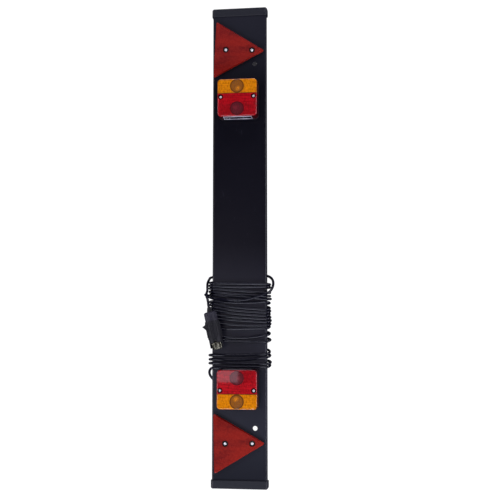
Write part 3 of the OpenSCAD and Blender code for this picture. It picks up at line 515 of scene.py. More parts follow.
plastic("collar plastic", (0.0150, 0.0140, 0.0230), (0.0215, 0.0200, 0.0310), 0.60, 0.08,
        grain_scale=1100.0, Specular_IOR_Level=0.36)
plastic("insert plastic", (0.0160, 0.0160, 0.0165), (0.0230, 0.0230, 0.0240), 0.50, 0.05)
print("plastics", sorted(MATERIALS))

# %% [markdown]
# The extruded board is a plastic like the others, with its grain drawn out along Y. Where it catches
# soft light, at its ends and behind the plug, and least between the upper lamp and the turns of the
# lead, a second, paler colour is painted on as a painted sheen, laid on by the place along the board.

# %% The board's own finish, with a painted sheen
PAINTED_SHEEN = (0.0185, 0.0190, 0.0270)


def board_finish():
    t = plastic("board plastic", (0.0012, 0.0011, 0.0040), (0.0020, 0.0019, 0.0056), 0.34, 0.04,
                stretch=(1, 0.02, 1), grain_scale=700.0, scuff_colour=(0.03, 0.032, 0.042),
                Specular_IOR_Level=0.24)
    place = t.coords()
    along = t.split(place)[1]
    low = t.times(t.ramp(along, 0.0, -0.24), t.ramp(along, -0.60, -0.46, 0.4))
    high = t.ramp(along, 0.40, 0.54, 0.0, 0.7)
    # painted sheen: paler towards the lower part and at the upper end, made uneven by noise
    sheen_mask = t.times(t.math("MAXIMUM", low, high), t.times_plus(t.noise(place, 4.0, 3.0), 0.8, 0.6))
    plain = t.tree.nodes["Principled BSDF"].inputs["Base Color"].links[0].from_socket
    t.principled(Base_Color=t.mix(sheen_mask, plain, PAINTED_SHEEN))


board_finish()
print("board finish made")

# %% [markdown]
# Zinc-plated steel, brass and bulb caps are metals: their colour is the colour of their reflections,
# and what makes them look real is that the gloss is uneven. The pins of the plug are brass with worn
# nickel on it, darkened by the weather.

# %% Metal finishes
METAL_GRAIN_SCALE = 1500.0


def metal(name, bright, dull, roughness, brushed=(1, 1, 1), grain=0.02, metallic=1.0):
    t = new_material(name)
    marks = surface_marks(t, brushed, METAL_GRAIN_SCALE)
    t.principled(Base_Color=t.mix(t.ramp(marks["Tone"], 0.35, 0.7), bright, dull),
                 Roughness=t.times_plus(marks["Grain"], 0.25, roughness - 0.1),
                 Normal=t.bump(marks["Grain"], 1.0, grain), Metallic=metallic)


metal("plated screw", (0.97, 0.97, 0.97), (0.88, 0.88, 0.89), 0.40, metallic=0.30)
metal("zinc nut", (0.66, 0.65, 0.60), (0.48, 0.46, 0.40), 0.38)
metal("spring strip", (0.72, 0.71, 0.66), (0.56, 0.55, 0.50), 0.28)
metal("nickel pin", (0.20, 0.196, 0.150), (0.008, 0.008, 0.007), 0.15, brushed=(8, 8, 8), grain=0.005)
metal("bulb cap brass", (0.80, 0.72, 0.50), (0.62, 0.54, 0.34), 0.30)
print("finishes so far", len(MATERIALS))

# %% [markdown]
# ## The optics of the lenses
# A rear lamp's lens is smooth outside, and pressed inside with ribs that spread the light, with a set
# of rings in front of each bulb, like a small lighthouse lens. Through the smooth face the eye sees
# those ribs as fine bright and dark lines, and the rings as a darker, greyer disc. A dark ring is
# painted round each screw boss, painted shade in its deep well, and the side walls, which nothing
# lights from behind, are painted nearly black, painted shade too. Near the middle of each disc a
# painted highlight stands for the bulb behind it. All of it is worked out from the distance to the
# lamp's own middle, which every lens piece carries as a vector attribute in millimetres, so that one
# group serves both lamps, which are turned end for end. It bends the light under the surface only: a
# clear coat keeps the outer face smooth.

# %% Node group: lens optics
LOCAL = "lamp_point"


def lens_optics_group():
    t, given, result = new_group(
        "lens optics",
        {"Point": (0.0, 0.0, 0.0), "Rib Pitch": 3.0, "Ring Pitch": 4.25, "Disc Y": 29.25,
         "Disc Radius": 17.7, "Core X": 0.0, "Core Y": 0.0, "Band Low": -15.0, "Band High": 11.0,
         "Screw X": 42.0, "Screw Y": 2.0, "Boss Radius": 7.0, "Wall Height": 43.6},
        ("Height", "Lines", "Disc", "Rings", "Rim", "Core", "Boss", "Wall", "Seam"))
    x, y, z = t.split(given["Point"])
    band_low, band_high, disc_r = given["Band Low"], given["Band High"], given["Disc Radius"]
    ribbed = t.math("MAXIMUM", t.ramp(y, band_high, t.math("ADD", band_high, 0.6)),
                    t.ramp(y, band_low, t.less(band_low, 0.6)))
    rib = t.tent(y, t.times(given["Rib Pitch"], 0.5))
    facet = t.times_plus(t.tent(x, 1.5), 0.45, rib)
    from_disc = t.less(y, given["Disc Y"])
    radius = t.distance(x, from_disc)
    disc = t.ramp(radius, t.math("ADD", disc_r, 0.3), disc_r)
    rings = t.math("FRACT", t.math("DIVIDE", radius, given["Ring Pitch"]))
    outside = t.times(t.times(facet, ribbed), t.less(1.0, disc))
    from_core = t.distance(t.less(x, given["Core X"]), t.less(from_disc, given["Core Y"]))
    from_screw = t.distance(t.less(t.math("ABSOLUTE", x), given["Screw X"]), t.less(y, given["Screw Y"]))
    from_seam = t.math("ABSOLUTE", t.less(y, band_high))
    for label, made in {
            "Height": t.times_plus(rings, disc, outside),
            "Lines": t.math("POWER", t.times(outside, 0.69), 1.6),
            "Disc": disc,
            "Rings": rings,
            "Rim": t.times(t.ramp(radius, t.less(disc_r, 4.0), t.less(disc_r, 1.5)), disc),
            # Core is a painted highlight for the bulb, Boss painted shade round each screw, Wall painted shade
            # on the unlit side walls.
            "Core": t.ramp(from_core, 8.0, 2.0),
            "Boss": t.ramp(from_screw, given["Boss Radius"], t.less(given["Boss Radius"], 0.9)),
            "Wall": t.ramp(z, given["Wall Height"], t.less(given["Wall Height"], 2.4)),
            "Seam": t.ramp(from_seam, 1.3, 0.5)}.items():
        t.put(made, result[label])
    return t.tree


def local_point(t):
    return t.node("ShaderNodeAttribute", attribute_name=LOCAL).outputs["Vector"]


OPTICS = lens_optics_group()
print("group", OPTICS.name, "reads the attribute", LOCAL)

# %% [markdown]
# A tinted lens is painted in layers, from its plain colour up: the ribs' lines, streaks and specks
# where the reflector behind is seen broken up by the ribs, then the disc with its dark rim and a painted
# highlight for the bulb, and last the seam of the two colours, painted shade round the screw bosses and
# painted shade on the side walls.

# %% The tinted lenses
def tinted_lens(name, settings, plain, line, speck, disc, core, cloud, rim, boss, wall):
    t = new_material(name)
    point = local_point(t)
    optics = t.node("ShaderNodeGroup", {**settings, "Point": point}, node_tree=OPTICS).outputs
    streaks = t.ramp(t.noise(t.stretch(point, (0.035, 0.34, 0.1)), 1.0), 0.42, 0.62)
    specks = t.ramp(t.noise(t.stretch(point, (0.42, 0.16, 0.1)), 1.0), 0.48, 0.66)
    body = t.paint(plain, (t.times(optics["Lines"], 0.75), line), (t.times(streaks, 0.7), line),
                   (t.times(specks, 0.6), speck))
    # the disc, with a painted highlight for the bulb (core) near its middle
    inner = t.paint(disc, (optics["Core"], core), (t.times(specks, 0.7), cloud),
                    (t.times(optics["Rings"], 0.35), rim), (optics["Rim"], rim))
    # then painted shade round the screw bosses (boss) and on the unlit side walls (wall)
    colour = t.paint(body, (t.times(optics["Disc"], 0.92), inner), (t.times(optics["Seam"], 0.75), rim),
                     (t.times(optics["Boss"], 0.95), boss), (optics["Wall"], wall))
    t.principled(Base_Color=colour, Normal=t.bump(optics["Height"], 0.55, 0.5), Roughness=0.25, IOR=1.49,
                 Specular_IOR_Level=0.05, Transmission_Weight=0.06, Coat_Weight=1.0, Coat_Roughness=0.03,
                 Coat_IOR=1.45)


RED_BULB_Y, AMBER_BULB_Y, RED_DISC_OFF = -30.0, 29.25, 1.5
# core is a painted highlight colour; boss and wall are painted shade colours
tinted_lens("red lens", {"Disc Y": RED_BULB_Y + RED_DISC_OFF, "Core X": -4.0, "Core Y": 2.0},
            plain=(0.50, 0.006, 0.012), line=(0.24, 0.003, 0.006), speck=(0.13, 0.003, 0.005),
            disc=(0.110, 0.014, 0.022), core=(0.200, 0.020, 0.030), cloud=(0.045, 0.020, 0.014),
            rim=(0.060, 0.006, 0.010), boss=(0.018, 0.002, 0.003), wall=(0.040, 0.0015, 0.003))
tinted_lens("amber lens", {"Disc Y": AMBER_BULB_Y, "Core X": 2.0, "Core Y": -6.0, "Band Low": 5.0},
            plain=(0.88, 0.295, 0.003), line=(0.56, 0.155, 0.001), speck=(0.30, 0.075, 0.001),
            disc=(0.280, 0.090, 0.012), core=(0.850, 0.270, 0.010), cloud=(0.180, 0.080, 0.030),
            rim=(0.075, 0.024, 0.006), boss=(0.020, 0.006, 0.002), wall=(0.100, 0.022, 0.002))
print("lens materials", [n for n in MATERIALS if "lens" in n])

# %% [markdown]
# ## The triangles' prisms
# A red reflector sends light back with rows of cube corners pressed into its back: three families of
# planes at 60 degrees to each other, a few millimetres apart. Seen from the front they make a fine
# mesh of small triangles, and random cells a few millimetres across are painted paler, as painted
# glints. The three families are three repeating ridges here, and the lowest of them at each place is
# the surface of the prism. Round each screw a disc is painted nearly black, painted shade in the well
# that the screw sits in.

# %% Reflector material
REFLECTOR_SCREW_X = (-14.0, 54.0)
PRISM_PITCH = 1.3


def reflector_material():
    t = new_material("reflector red")
    point = local_point(t)
    ridges = []
    for k in range(3):
        a = math.radians(30 + 60 * k)
        across = t.node("ShaderNodeVectorMath", {0: point, 1: (math.cos(a), math.sin(a), 0)},
                        operation="DOT_PRODUCT").outputs["Value"]
        ridges.append(t.tent(across, PRISM_PITCH))
    prism = t.math("MINIMUM", t.math("MINIMUM", ridges[0], ridges[1]), ridges[2])
    # painted glints: random cells about 3 mm across, laid on paler red by their random colour
    glint_cells = t.node("ShaderNodeTexVoronoi", {"Vector": point, "Scale": 0.34}).outputs["Color"]
    cloud = t.noise(t.stretch(point, (0.3, 1, 1)), 0.05)
    x, y, _ = t.split(point)
    near, far = REFLECTOR_SCREW_X
    from_middle = t.math("ABSOLUTE", t.less(x, (near + far) / 2))
    from_screw = t.distance(t.less(from_middle, (far - near) / 2), y)
    # plain red, a random cloud, the painted glints, the prisms' darker lines and the painted shade round each
    # screw
    colour = t.paint((0.145, 0.004, 0.004), (t.ramp(cloud, 0.34, 0.64), (0.285, 0.011, 0.006)),
                     (t.times(t.split(glint_cells)[0], 0.32), (0.46, 0.030, 0.015)),
                     (t.times(t.less(1.0, prism), 0.28), (0.070, 0.002, 0.003)),
                     (t.ramp(from_screw, 8.2, 7.2), (0.012, 0.0015, 0.0015)))
    t.principled(Base_Color=colour, Normal=t.bump(prism, 0.5, 0.6), Roughness=0.35, IOR=1.49,
                 Specular_IOR_Level=0.05, Coat_Weight=0.45, Coat_Roughness=0.08, Coat_IOR=1.45)


reflector_material()
print("reflector material made")

# %% [markdown]
# The small window that lights the number plate is clear acrylic. Its moulded rim is frosted, and on
# the left lamp it catches the light as two pale lines. On the right one, which the lead shades, the rim
# is painted dark, as painted shade. The bulbs' glass is thin and nearly invisible, and the indicator's
# is tinted amber.

# %% Clear materials
def clear_material(name, tint, ior, smear_scale, smear, least=0.0):
    t = new_material(name)
    roughness = t.times_plus(t.noise(t.coords(), smear_scale), smear, least)
    t.principled(Base_Color=tint, Roughness=roughness, IOR=ior, Transmission_Weight=1.0)


def frosted_rim(name, dull, bright):
    t = new_material(name)
    uneven = t.ramp(t.noise(t.coords(), 42.0), 0.38, 0.62)
    t.principled(Base_Color=t.mix(uneven, dull, bright), Roughness=0.4, Coat_Weight=0.6, Coat_Roughness=0.1)


clear_material("clear window", (0.93, 0.93, 0.96), 1.49, 60.0, 0.14, 0.02)
frosted_rim("left window rim", (0.36, 0.34, 0.41), (0.80, 0.77, 0.84))
# painted shade: the right lamp's rim is a dark copy of the frosted rim, where the lead shades it
frosted_rim("right window rim", (0.020, 0.018, 0.022), (0.050, 0.045, 0.052))
clear_material("clear bulb glass", (0.97, 0.97, 0.97), 1.2, 90.0, 0.12)
clear_material("amber bulb glass", (0.95, 0.45, 0.06), 1.2, 90.0, 0.12)
print("all finishes", len(MATERIALS))

# %% [markdown]
# ## Pieces whose CAD shape is right
# A CAD solid has knife-sharp edges. Real plastic has edges a few tenths of a millimetre round, and
# they matter more than their size suggests, because each one carries a thin line of light. The mesh
# is copied, its doubled corners merged and its flat faces joined, and a Bevel modifier rounds every
# edge that is sharper than 35 degrees. Copies of the lens pieces also get each vertex's place in
# their own lamp or triangle, for the optics.

# %% Softened copies of CAD nodes
LAMP_Y, FACE_Z = 366.0, BOARD_HIGH
REFLECTOR_AT = {1: (-20.4, 501.5, -3.0), -1: (-20.4, -501.5, 1.0)}
SHARP, ALMOST_FLAT = 35, 0.3


def lamp_point(side, at):
    """A place in a lamp's own frame, in mm: the right lamp is the left one turned end for end."""
    return (side * at.x / MM, side * at.y / MM - LAMP_Y, at.z / MM - FACE_Z)


def reflector_point(side, at):
    x, y, turn = REFLECTOR_AT[side]
    a = -math.radians(turn)
    dx, dy = at.x / MM - x, at.y / MM - y
    return (dx * math.cos(a) - dy * math.sin(a), dx * math.sin(a) + dy * math.cos(a), at.z / MM - FACE_Z)


def mesh_from(bm, name, sharp=None):
    """Turns a bmesh into a mesh, smooth up to the sharp angle where one is given."""
    if sharp:
        for face in bm.faces:
            face.smooth = True
        for edge in bm.edges:
            edge.smooth = len(edge.link_faces) == 2 and edge.calc_face_angle(0) < math.radians(sharp)
    mesh = bpy.data.meshes.new(name)
    bm.to_mesh(mesh)
    bm.free()
    return mesh


def declare(obj, slot, *stands_for):
    """Says what a piece rides on and which CAD nodes it stands for. Its material slot is not used."""
    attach(obj, BODY)
    if stands_for:
        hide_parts(*stands_for)
    return obj


def softened(node, material, slot, width, local=None):
    """A copy of a CAD node with rounded edges, in its place. local gives each vertex's own place."""
    name = node + "_finished"
    bm = bmesh.new()
    bm.from_mesh(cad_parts[node].data)
    bmesh.ops.remove_doubles(bm, verts=bm.verts, dist=0.01 * MM)
    bmesh.ops.dissolve_limit(bm, angle_limit=math.radians(ALMOST_FLAT), verts=bm.verts, edges=bm.edges)
    mesh = mesh_from(bm, name, SHARP)
    mesh.materials.append(MATERIALS[material])
    if local:
        places = mesh.attributes.new(LOCAL, "FLOAT_VECTOR", "POINT")
        places.data.foreach_set("vector", [c for v in mesh.vertices for c in local(v.co)])
    obj = add_object(name, mesh)
    if width:
        bevel = obj.modifiers.new("edge", "BEVEL")
        bevel.width = width * MM
        bevel.segments = 2
        bevel.limit_method = "ANGLE"
        bevel.angle_limit = math.radians(SHARP)
    obj.modifiers.new("flat faces stay flat", "WEIGHTED_NORMAL").keep_sharp = True
    return declare(obj, slot, node)


# Node, finish, slot and width of the rounded edges, where * stands for left and right.
FINISHES = [
    ("board", "board plastic", "board_plastic", 0.5), ("*_end_cap", "cap plastic", "cap_plastic", 0.8),
    ("*_reflector_backing", "backing plastic", "backing_plastic", 0.3),
    ("*_lamp_base", "lamp base plastic", "base_plastic", 0.4),
    ("*_lens_seal", "foam seal", "foam_seal", 0.3), ("*_bulb_holders", "spring strip", "holder_metal", 0.15),
    ("*_terminal_block", "terminal nylon", "terminal_plastic", 0.3),
    ("lamp_nuts", "zinc nut", "zinc_nut", 0.3), ("reflector_nuts", "zinc nut", "zinc_nut", 0.25),
    ("lamp_bolts", "plated screw", "plated_screw", 0.2),
    ("link_grommets", "black rubber", "black_rubber", 0.4),
    ("supply_grommet", "black rubber", "black_rubber", 0.4),
    ("link_clips", "white nylon", "clip_plastic", 0.2),
    ("cord_clamp", "clamp and boss plastic", "base_plastic", 0.6),
    ("plug_collar", "collar plastic", "collar_plastic", 0.4),
    ("plug_shell", "plug plastic", "plug_plastic", 0.4),
    ("plug_insert", "insert plastic", "insert_plastic", 0.2),
]
LENSES = [
    ("red_lens", "red lens", "lens_red", lamp_point), ("amber_lens", "amber lens", "lens_amber", lamp_point),
    ("plate_window", "clear window", "lens_clear", lamp_point),
    ("reflector_lens", "reflector red", "reflector_red", reflector_point),
]
finished = {}
for pattern, material, slot, width in FINISHES:
    for name in ("left", "right") if "*" in pattern else ("",):
        node = pattern.replace("*", name)
        finished[node] = softened(node, material, slot, width)
for side, name in SIDES:
    for piece, material, slot, place in LENSES:
        node = f"{name}_{piece}"
        finished[node] = softened(node, material, slot, 0, lambda at: place(side, at))
print("finished copies", len(finished))

# %% [markdown]
# ## Bulbs
# A bayonet bulb is glass on a brass cap. The glass is a ball with a neck, turned on a lathe as one
# closed skin, and so is the cap; two small pins hold the cap in its holder, and a blob of solder
# closes its end. Inside the glass two wires carry the coiled filament. The bulbs lie along X, behind
# the rings of the lens, with their caps towards the lamp's side.

# %% Lathe and wire helpers
def join_rings(bm, rings, sides):
    """Faces between rings of vertices. A ring may be a single vertex, on the axis."""
    for low, high in zip(rings, rings[1:]):
        for k in range(sides):
            n = (k + 1) % sides
            around = [low[k % len(low)], low[n % len(low)], high[n % len(high)], high[k % len(high)]]
            bm.faces.new(list(dict.fromkeys(around)))


def lathe(bm, profile, matrix, sides=32):
    """Adds the solid that a profile of (radius, height) sweeps round the local Z axis."""
    rings = []
    for radius, z in profile:
        angles = (2 * math.pi * k / sides for k in range(sides if radius > 1e-6 else 1))
        rings.append([bm.verts.new(matrix @ Vector((radius * math.cos(a), radius * math.sin(a), z)))
                      for a in angles])
    join_rings(bm, rings, sides)


def wire(bm, points, radius, matrix, sides):
    """Adds a round wire along points, with closed ends."""
    rings = []
    up = Vector((0.12, 0.2, 1)).normalized()
    for i, point in enumerate(points):
        ahead = (points[min(i + 1, len(points) - 1)] - points[max(i - 1, 0)]).normalized()
        across = ahead.cross(up).normalized()
        second = across.cross(ahead)
        rings.append([bm.verts.new(matrix @ (point + radius * (math.cos(a) * across + math.sin(a) * second)))
                      for a in (2 * math.pi * k / sides for k in range(sides))])
    join_rings(bm, rings, sides)
    bm.faces.new(rings[0][::-1])
    bm.faces.new(rings[-1])


def finish_mesh(name, bm, material, slot, *stands_for, sharp=SHARP):
    """A piece from a bmesh: faces outwards, smooth up to the given angle."""
    bmesh.ops.remove_doubles(bm, verts=bm.verts, dist=0.001 * MM)
    bmesh.ops.recalc_face_normals(bm, faces=bm.faces)
    mesh = mesh_from(bm, name, sharp)
    mesh.materials.append(MATERIALS[material])
    return declare(add_object(name, mesh), slot, *stands_for)


def in_lamp_frame(side):
    """From a lamp's own frame, in mm, to the board's frame, in metres."""
    turn = Matrix.Identity(4) if side > 0 else Matrix.Rotation(math.pi, 4, "Z")
    return Matrix.Scale(MM, 4) @ Matrix.Translation((0, side * LAMP_Y, FACE_Z)) @ turn


print("helpers ready")

# %% Bulbs
BULB_BACK_X, BULB_Z = -43.0, 22.0
GLASS_R, CAP_R, CAP_L, REACH, NECK_R, BALL_FROM = 12.5, 7.5, 16.0, 43.0, 6.6, 0.66
WIRE_X, WIRE_R, FILAMENT_R = 2.4, 0.25, 0.12
COIL_R, COIL_HALF, COIL_STEPS, COIL_TURN = 0.6, 2.7, 96, 0.9
PIN_Z = 5.5

ball_start = math.asin(BALL_FROM)
ball = [(GLASS_R * math.sin(a), REACH - GLASS_R * math.cos(a))
        for a in (ball_start + (math.pi - ball_start) * k / 18 for k in range(18))]
GLASS_PROFILE = [(0, CAP_L - 2), (NECK_R, CAP_L - 2), (NECK_R, CAP_L + 4), (NECK_R + 0.5, CAP_L + 8),
                 (NECK_R + 1.2, CAP_L + 14), *ball, (0, REACH + GLASS_R)]
CAP_PROFILE = [(0, -1.2), (1.6, -1.0), (2.4, -0.2), (2.6, 0.4), (CAP_R - 0.8, 0.5), (CAP_R - 0.2, 0.8),
               (CAP_R, 1.6), (CAP_R, CAP_L - 2.0), (CAP_R - 0.5, CAP_L - 1.2), (CAP_R - 0.5, CAP_L),
               (NECK_R + 0.1, CAP_L), (NECK_R + 0.1, CAP_L - 3), (0, CAP_L - 3)]
PIN_PROFILE = [(0, CAP_R - 1), (1, CAP_R - 1), (1, CAP_R + 0.9), (0.7, CAP_R + 1.2), (0, CAP_R + 1.2)]
COIL = [Vector((-COIL_HALF + 2 * COIL_HALF * k / COIL_STEPS, COIL_R * math.cos(k * COIL_TURN),
                REACH - 1 + COIL_R * math.sin(k * COIL_TURN))) for k in range(COIL_STEPS + 1)]
QUARTER_TURN = Matrix.Rotation(math.pi / 2, 4, "Y")


def bulb(side, name, y, glass, slot):
    lay = in_lamp_frame(side) @ Matrix.Translation((BULB_BACK_X, y, BULB_Z)) @ QUARTER_TURN
    skin, cap = bmesh.new(), bmesh.new()
    lathe(skin, GLASS_PROFILE, lay, 40)
    finish_mesh(f"{name}_glass", skin, glass, slot, name)
    lathe(cap, CAP_PROFILE, lay, 32)
    for turn in (0, math.pi):
        pin = lay @ Matrix.Translation((0, 0, PIN_Z)) @ Matrix.Rotation(turn, 4, "Z") @ QUARTER_TURN
        lathe(cap, PIN_PROFILE, pin, 10)
    for x in (-WIRE_X, WIRE_X):
        stem = [Vector((x, 0, CAP_L - 4)), Vector((x, 0, REACH - 8)), Vector((x * 1.15, 0, REACH - 1))]
        wire(cap, stem, WIRE_R, lay, 6)
    wire(cap, COIL, FILAMENT_R, lay, 5)
    finish_mesh(f"{name}_cap", cap, "bulb cap brass", slot, name)


for side, name in SIDES:
    bulb(side, f"{name}_indicator_bulb", AMBER_BULB_Y, "amber bulb glass", "amber_bulb")
    bulb(side, f"{name}_stop_tail_bulb", RED_BULB_Y, "clear bulb glass", "clear_bulb")
print("bulbs made")

# %% [markdown]
# ## Screws, by Geometry Nodes
# One pan head with its cross recess is modelled once and repeated wherever a screw sits. A small node
# tree does that: it puts the head on every point of a piece that holds only the screws' places,
# and turns each by a random angle, because no two screws stop at the same turn. The tree
# ends by making the copies real, since an exported model can't hold instances.

# %% The tree that repeats a piece
def repeat_tree():
    tree = bpy.data.node_groups.new("repeat at points", "GeometryNodeTree")
    for label, kind, way in (("Geometry", "Geometry", "INPUT"), ("Piece", "Object", "INPUT"),
                             ("Random Turn", "Float", "INPUT"), ("Seed", "Int", "INPUT"),
                             ("Material", "Material", "INPUT"), ("Geometry", "Geometry", "OUTPUT")):
        tree.interface.new_socket(label, in_out=way, socket_type="NodeSocket" + kind)
    t, given, result = Nodes(tree), tree.nodes.new("NodeGroupInput").outputs, tree.nodes.new("NodeGroupOutput")
    piece = t.node("GeometryNodeObjectInfo", {"Object": given["Piece"]}).outputs["Geometry"]
    angle = t.node("FunctionNodeRandomValue", {2: 0.0, 3: given["Random Turn"], "Seed": given["Seed"]},
                   data_type="FLOAT").outputs[1]
    turn = t.out("ShaderNodeCombineXYZ", {2: angle})
    placed = t.out("GeometryNodeInstanceOnPoints",
                   {"Points": given["Geometry"], "Instance": piece, "Rotation": turn})
    real = t.out("GeometryNodeRealizeInstances", {0: placed})
    coloured = t.out("GeometryNodeSetMaterial", {"Geometry": real, "Material": given["Material"]})
    t.put(coloured, result.inputs[0])
    return tree


def worked_out(obj):
    """The mesh that an object's modifiers make. The object is used up."""
    bpy.context.view_layer.update()
    mesh = bpy.data.meshes.new_from_object(obj.evaluated_get(bpy.context.evaluated_depsgraph_get()))
    bpy.data.objects.remove(obj)
    return mesh


def repeated(node, places, piece, material, slot, random_turn, seed):
    """Real copies of a piece at the places given, as one plain mesh in place of a CAD node."""
    points = bpy.data.meshes.new(node + "_places")
    points.from_pydata(places, [], [])
    holder = add_object(node + "_places", points)
    modifier = holder.modifiers.new("repeat", "NODES")
    modifier.node_group = REPEAT
    values = {"Piece": piece, "Random Turn": random_turn, "Seed": seed, "Material": MATERIALS[material]}
    for socket in REPEAT.interface.items_tree:
        if socket.in_out == "INPUT" and socket.name in values:
            modifier[socket.identifier] = values[socket.name]
    mesh = worked_out(holder)
    mesh.name = node + "_finished"
    bpy.data.objects.remove(piece)
    return declare(add_object(node + "_finished", mesh), slot, node)


REPEAT = repeat_tree()
print("tree", REPEAT.name, "inputs", [s.name for s in REPEAT.interface.items_tree if s.in_out == "INPUT"])

# %% One pan head screw with a cross recess
CUT_SHARP = 28
BOX_CORNERS = ((-1, -1), (1, -1), (1, 1), (-1, 1))
BOX_FACES = ((0, 3, 2, 1), (4, 5, 6, 7), (0, 1, 5, 4), (1, 2, 6, 5), (2, 3, 7, 6), (3, 0, 4, 7))


def add_box(bm, corners):
    verts = [bm.verts.new(corner) for corner in corners]
    for face in BOX_FACES:
        bm.faces.new([verts[k] for k in face])


def bare_object(name, bm):
    bmesh.ops.recalc_face_normals(bm, faces=bm.faces)
    return add_object(name, mesh_from(bm, name))


def cut_away(body, cutter):
    """The mesh of a body with the cutter taken out of it; both are used up."""
    cut = body.modifiers.new("cut", "BOOLEAN")
    cut.operation, cut.object, cut.solver, cut.use_self = "DIFFERENCE", cutter, "EXACT", True
    mesh = worked_out(body)
    bpy.data.objects.remove(cutter)
    mesh.shade_smooth()
    mesh.set_sharp_from_angle(angle=math.radians(CUT_SHARP))
    return mesh


def pan_head_screw(name, head_d, head_h, shank_d, shank_l, pitch):
    """A screw along -Z with its head's seat at the origin, in metres, threaded up to 2 mm under the head."""
    bm, cross = bmesh.new(), bmesh.new()
    r, shank_r = head_d / 2, shank_d / 2
    head = [(0, head_h), (0.45 * r, head_h), (0.72 * r, 0.93 * head_h), (0.9 * r, 0.72 * head_h),
            (r, 0.4 * head_h), (r, 0.08 * head_h), (0.97 * r, 0), (shank_r, 0), (shank_r, -2)]
    thread = []
    for k in range(int((shank_l - 3) / pitch)):
        thread += [(shank_r - 0.45, -2 - pitch * (k + 0.25)), (shank_r, -2 - pitch * (k + 0.75))]
    tip = [(shank_r - 0.6, -shank_l + 0.4), (0, -shank_l)]
    lathe(bm, head + thread + tip, Matrix.Scale(MM, 4), 28)
    screw = bare_object(name, bm)
    for turn in (0, math.pi / 2):
        add_box(cross, [Matrix.Rotation(turn, 4, "Z") @ Vector((x * half_l, y * half_w, z)) * MM
                        for z, half_l, half_w in ((head_h + 0.5, 0.58 * r, 0.15 * r),
                                                  (head_h - 1.5, 0.24 * r, 0.09 * r))
                        for x, y in BOX_CORNERS])
    return add_object(name, cut_away(screw, bare_object(name + "_cross", cross)))


def screws(node, places, head_d, head_h, shank_d, seed, pitch=0.7):
    """Screws at the places of their heads' seats, as long as the CAD model's."""
    low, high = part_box(node)
    head = pan_head_screw(node + "_one", head_d, head_h, shank_d, (high.z - low.z) / MM - head_h, pitch)
    return repeated(node, places, head, "plated screw", "plated_screw", math.pi, seed)


print("one screw can be made")

# %% The screws
HEAD_D, HEAD_H, SCREW_D = 6.8, 2.4, 4.0
CLAMP_HEAD_D, CLAMP_HEAD_H, CLAMP_SCREW_D = 5.5, 1.6, 3.0


def seat_z(node):
    """The height of the heads' seats over the board's face, in mm."""
    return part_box(node)[1].z / MM - FACE_Z - HEAD_H


def reflector_place(side, x, z):
    """From a reflector's own frame, in mm, to the board's, in metres."""
    cx, cy, turn = REFLECTOR_AT[side]
    a = math.radians(turn)
    return Vector((cx + x * math.cos(a), cy + x * math.sin(a), FACE_Z + z)) * MM


wells = {item.name: item.default_value for item in OPTICS.interface.items_tree if item.in_out == "INPUT"}
lens_places = [in_lamp_frame(side) @ Vector((x * wells["Screw X"], wells["Screw Y"], seat_z("lens_screws")))
               for side, _ in SIDES for x in (-1, 1)]
reflector_places = [reflector_place(side, x, seat_z("reflector_screws"))
                    for side, _ in SIDES for x in REFLECTOR_SCREW_X]
screws("lens_screws", lens_places, HEAD_D, HEAD_H, SCREW_D, 3)
screws("reflector_screws", reflector_places, HEAD_D, HEAD_H, SCREW_D, 8)
print("screws", len(lens_places + reflector_places))

# The clamp's screws point the other way, so they are made upside down and turned over.
low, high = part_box("clamp_screws")
middle = (low + high) / 2
half_span = (high.y - low.y) / 2 - CLAMP_HEAD_D / 2 * MM
clamp_places = [Vector((middle.x, middle.y + k * half_span, -(low.z + CLAMP_HEAD_H * MM))) for k in (-1, 1)]
clamp_screws = screws("clamp_screws", clamp_places, CLAMP_HEAD_D, CLAMP_HEAD_H, CLAMP_SCREW_D, 5, 0.5)
clamp_screws.data.transform(Matrix.Diagonal((1, -1, -1, 1)))
clamp_screws.data.transform(Matrix.Translation((0, 2 * middle.y, 0)))
print("clamp screws", len(clamp_places))

# %% [markdown]
# ## The number plate windows' rims
# Each window is set in a narrow moulded rim on the lamp's inner wall. From the front it is almost edge
# on, so that what shows of it is two pale strips, the near rim over the far one.

# %% Window rims
WINDOW_W, WINDOW_LOW, WINDOW_HIGH = 73.0, 15.7, 40.3
RIM_W, RIM_PROUD, RIM_SUNK, RIM_ROUND = 1.8, 1.0, 0.4, 0.3
WALL_Y, WALL_FOOT_Z, WALL_LEAN = -49.0, 15.5, 1.0 / 30.5


def add_bar(bm, x_low, x_high, z_low, z_high, matrix):
    """A bar on the sloping inner wall."""
    corners = []
    for z in (z_low, z_high):
        wall_y = WALL_Y + (z - WALL_FOOT_Z) * WALL_LEAN
        out, back = wall_y - RIM_PROUD, wall_y + RIM_SUNK
        corners += [matrix @ Vector((x, y, z))
                    for x, y in ((x_low, out), (x_high, out), (x_high, back), (x_low, back))]
    add_box(bm, corners)


half = WINDOW_W / 2
RIM_BARS = [(-half, half, WINDOW_LOW, WINDOW_LOW + RIM_W), (-half, half, WINDOW_HIGH - RIM_W, WINDOW_HIGH),
            (-half, -half + RIM_W, WINDOW_LOW + RIM_W, WINDOW_HIGH - RIM_W),
            (half - RIM_W, half, WINDOW_LOW + RIM_W, WINDOW_HIGH - RIM_W)]
for side, name in SIDES:
    bm = bmesh.new()
    for bar in RIM_BARS:
        add_bar(bm, *bar, in_lamp_frame(side))
    bmesh.ops.bevel(bm, geom=bm.edges[:], offset=RIM_ROUND * MM, segments=2, affect="EDGES")
    finish_mesh(f"{name}_window_rim", bm, f"{name} window rim", "lens_clear", f"{name}_plate_window")
print("window rims made")

# %% [markdown]
# ## Cables in the board's channel
# A thinner cable links the lamps behind the board, held by clips beside a rib, and a stretch of the
# same seven-core lead runs from the right lamp to the clamp. They follow the routes of the CAD
# model, smoothed in the same way as the free lead. The link cable's bend is three numbers: the share
# of the way across to the clips, the distance along the board, and the height over its wall.

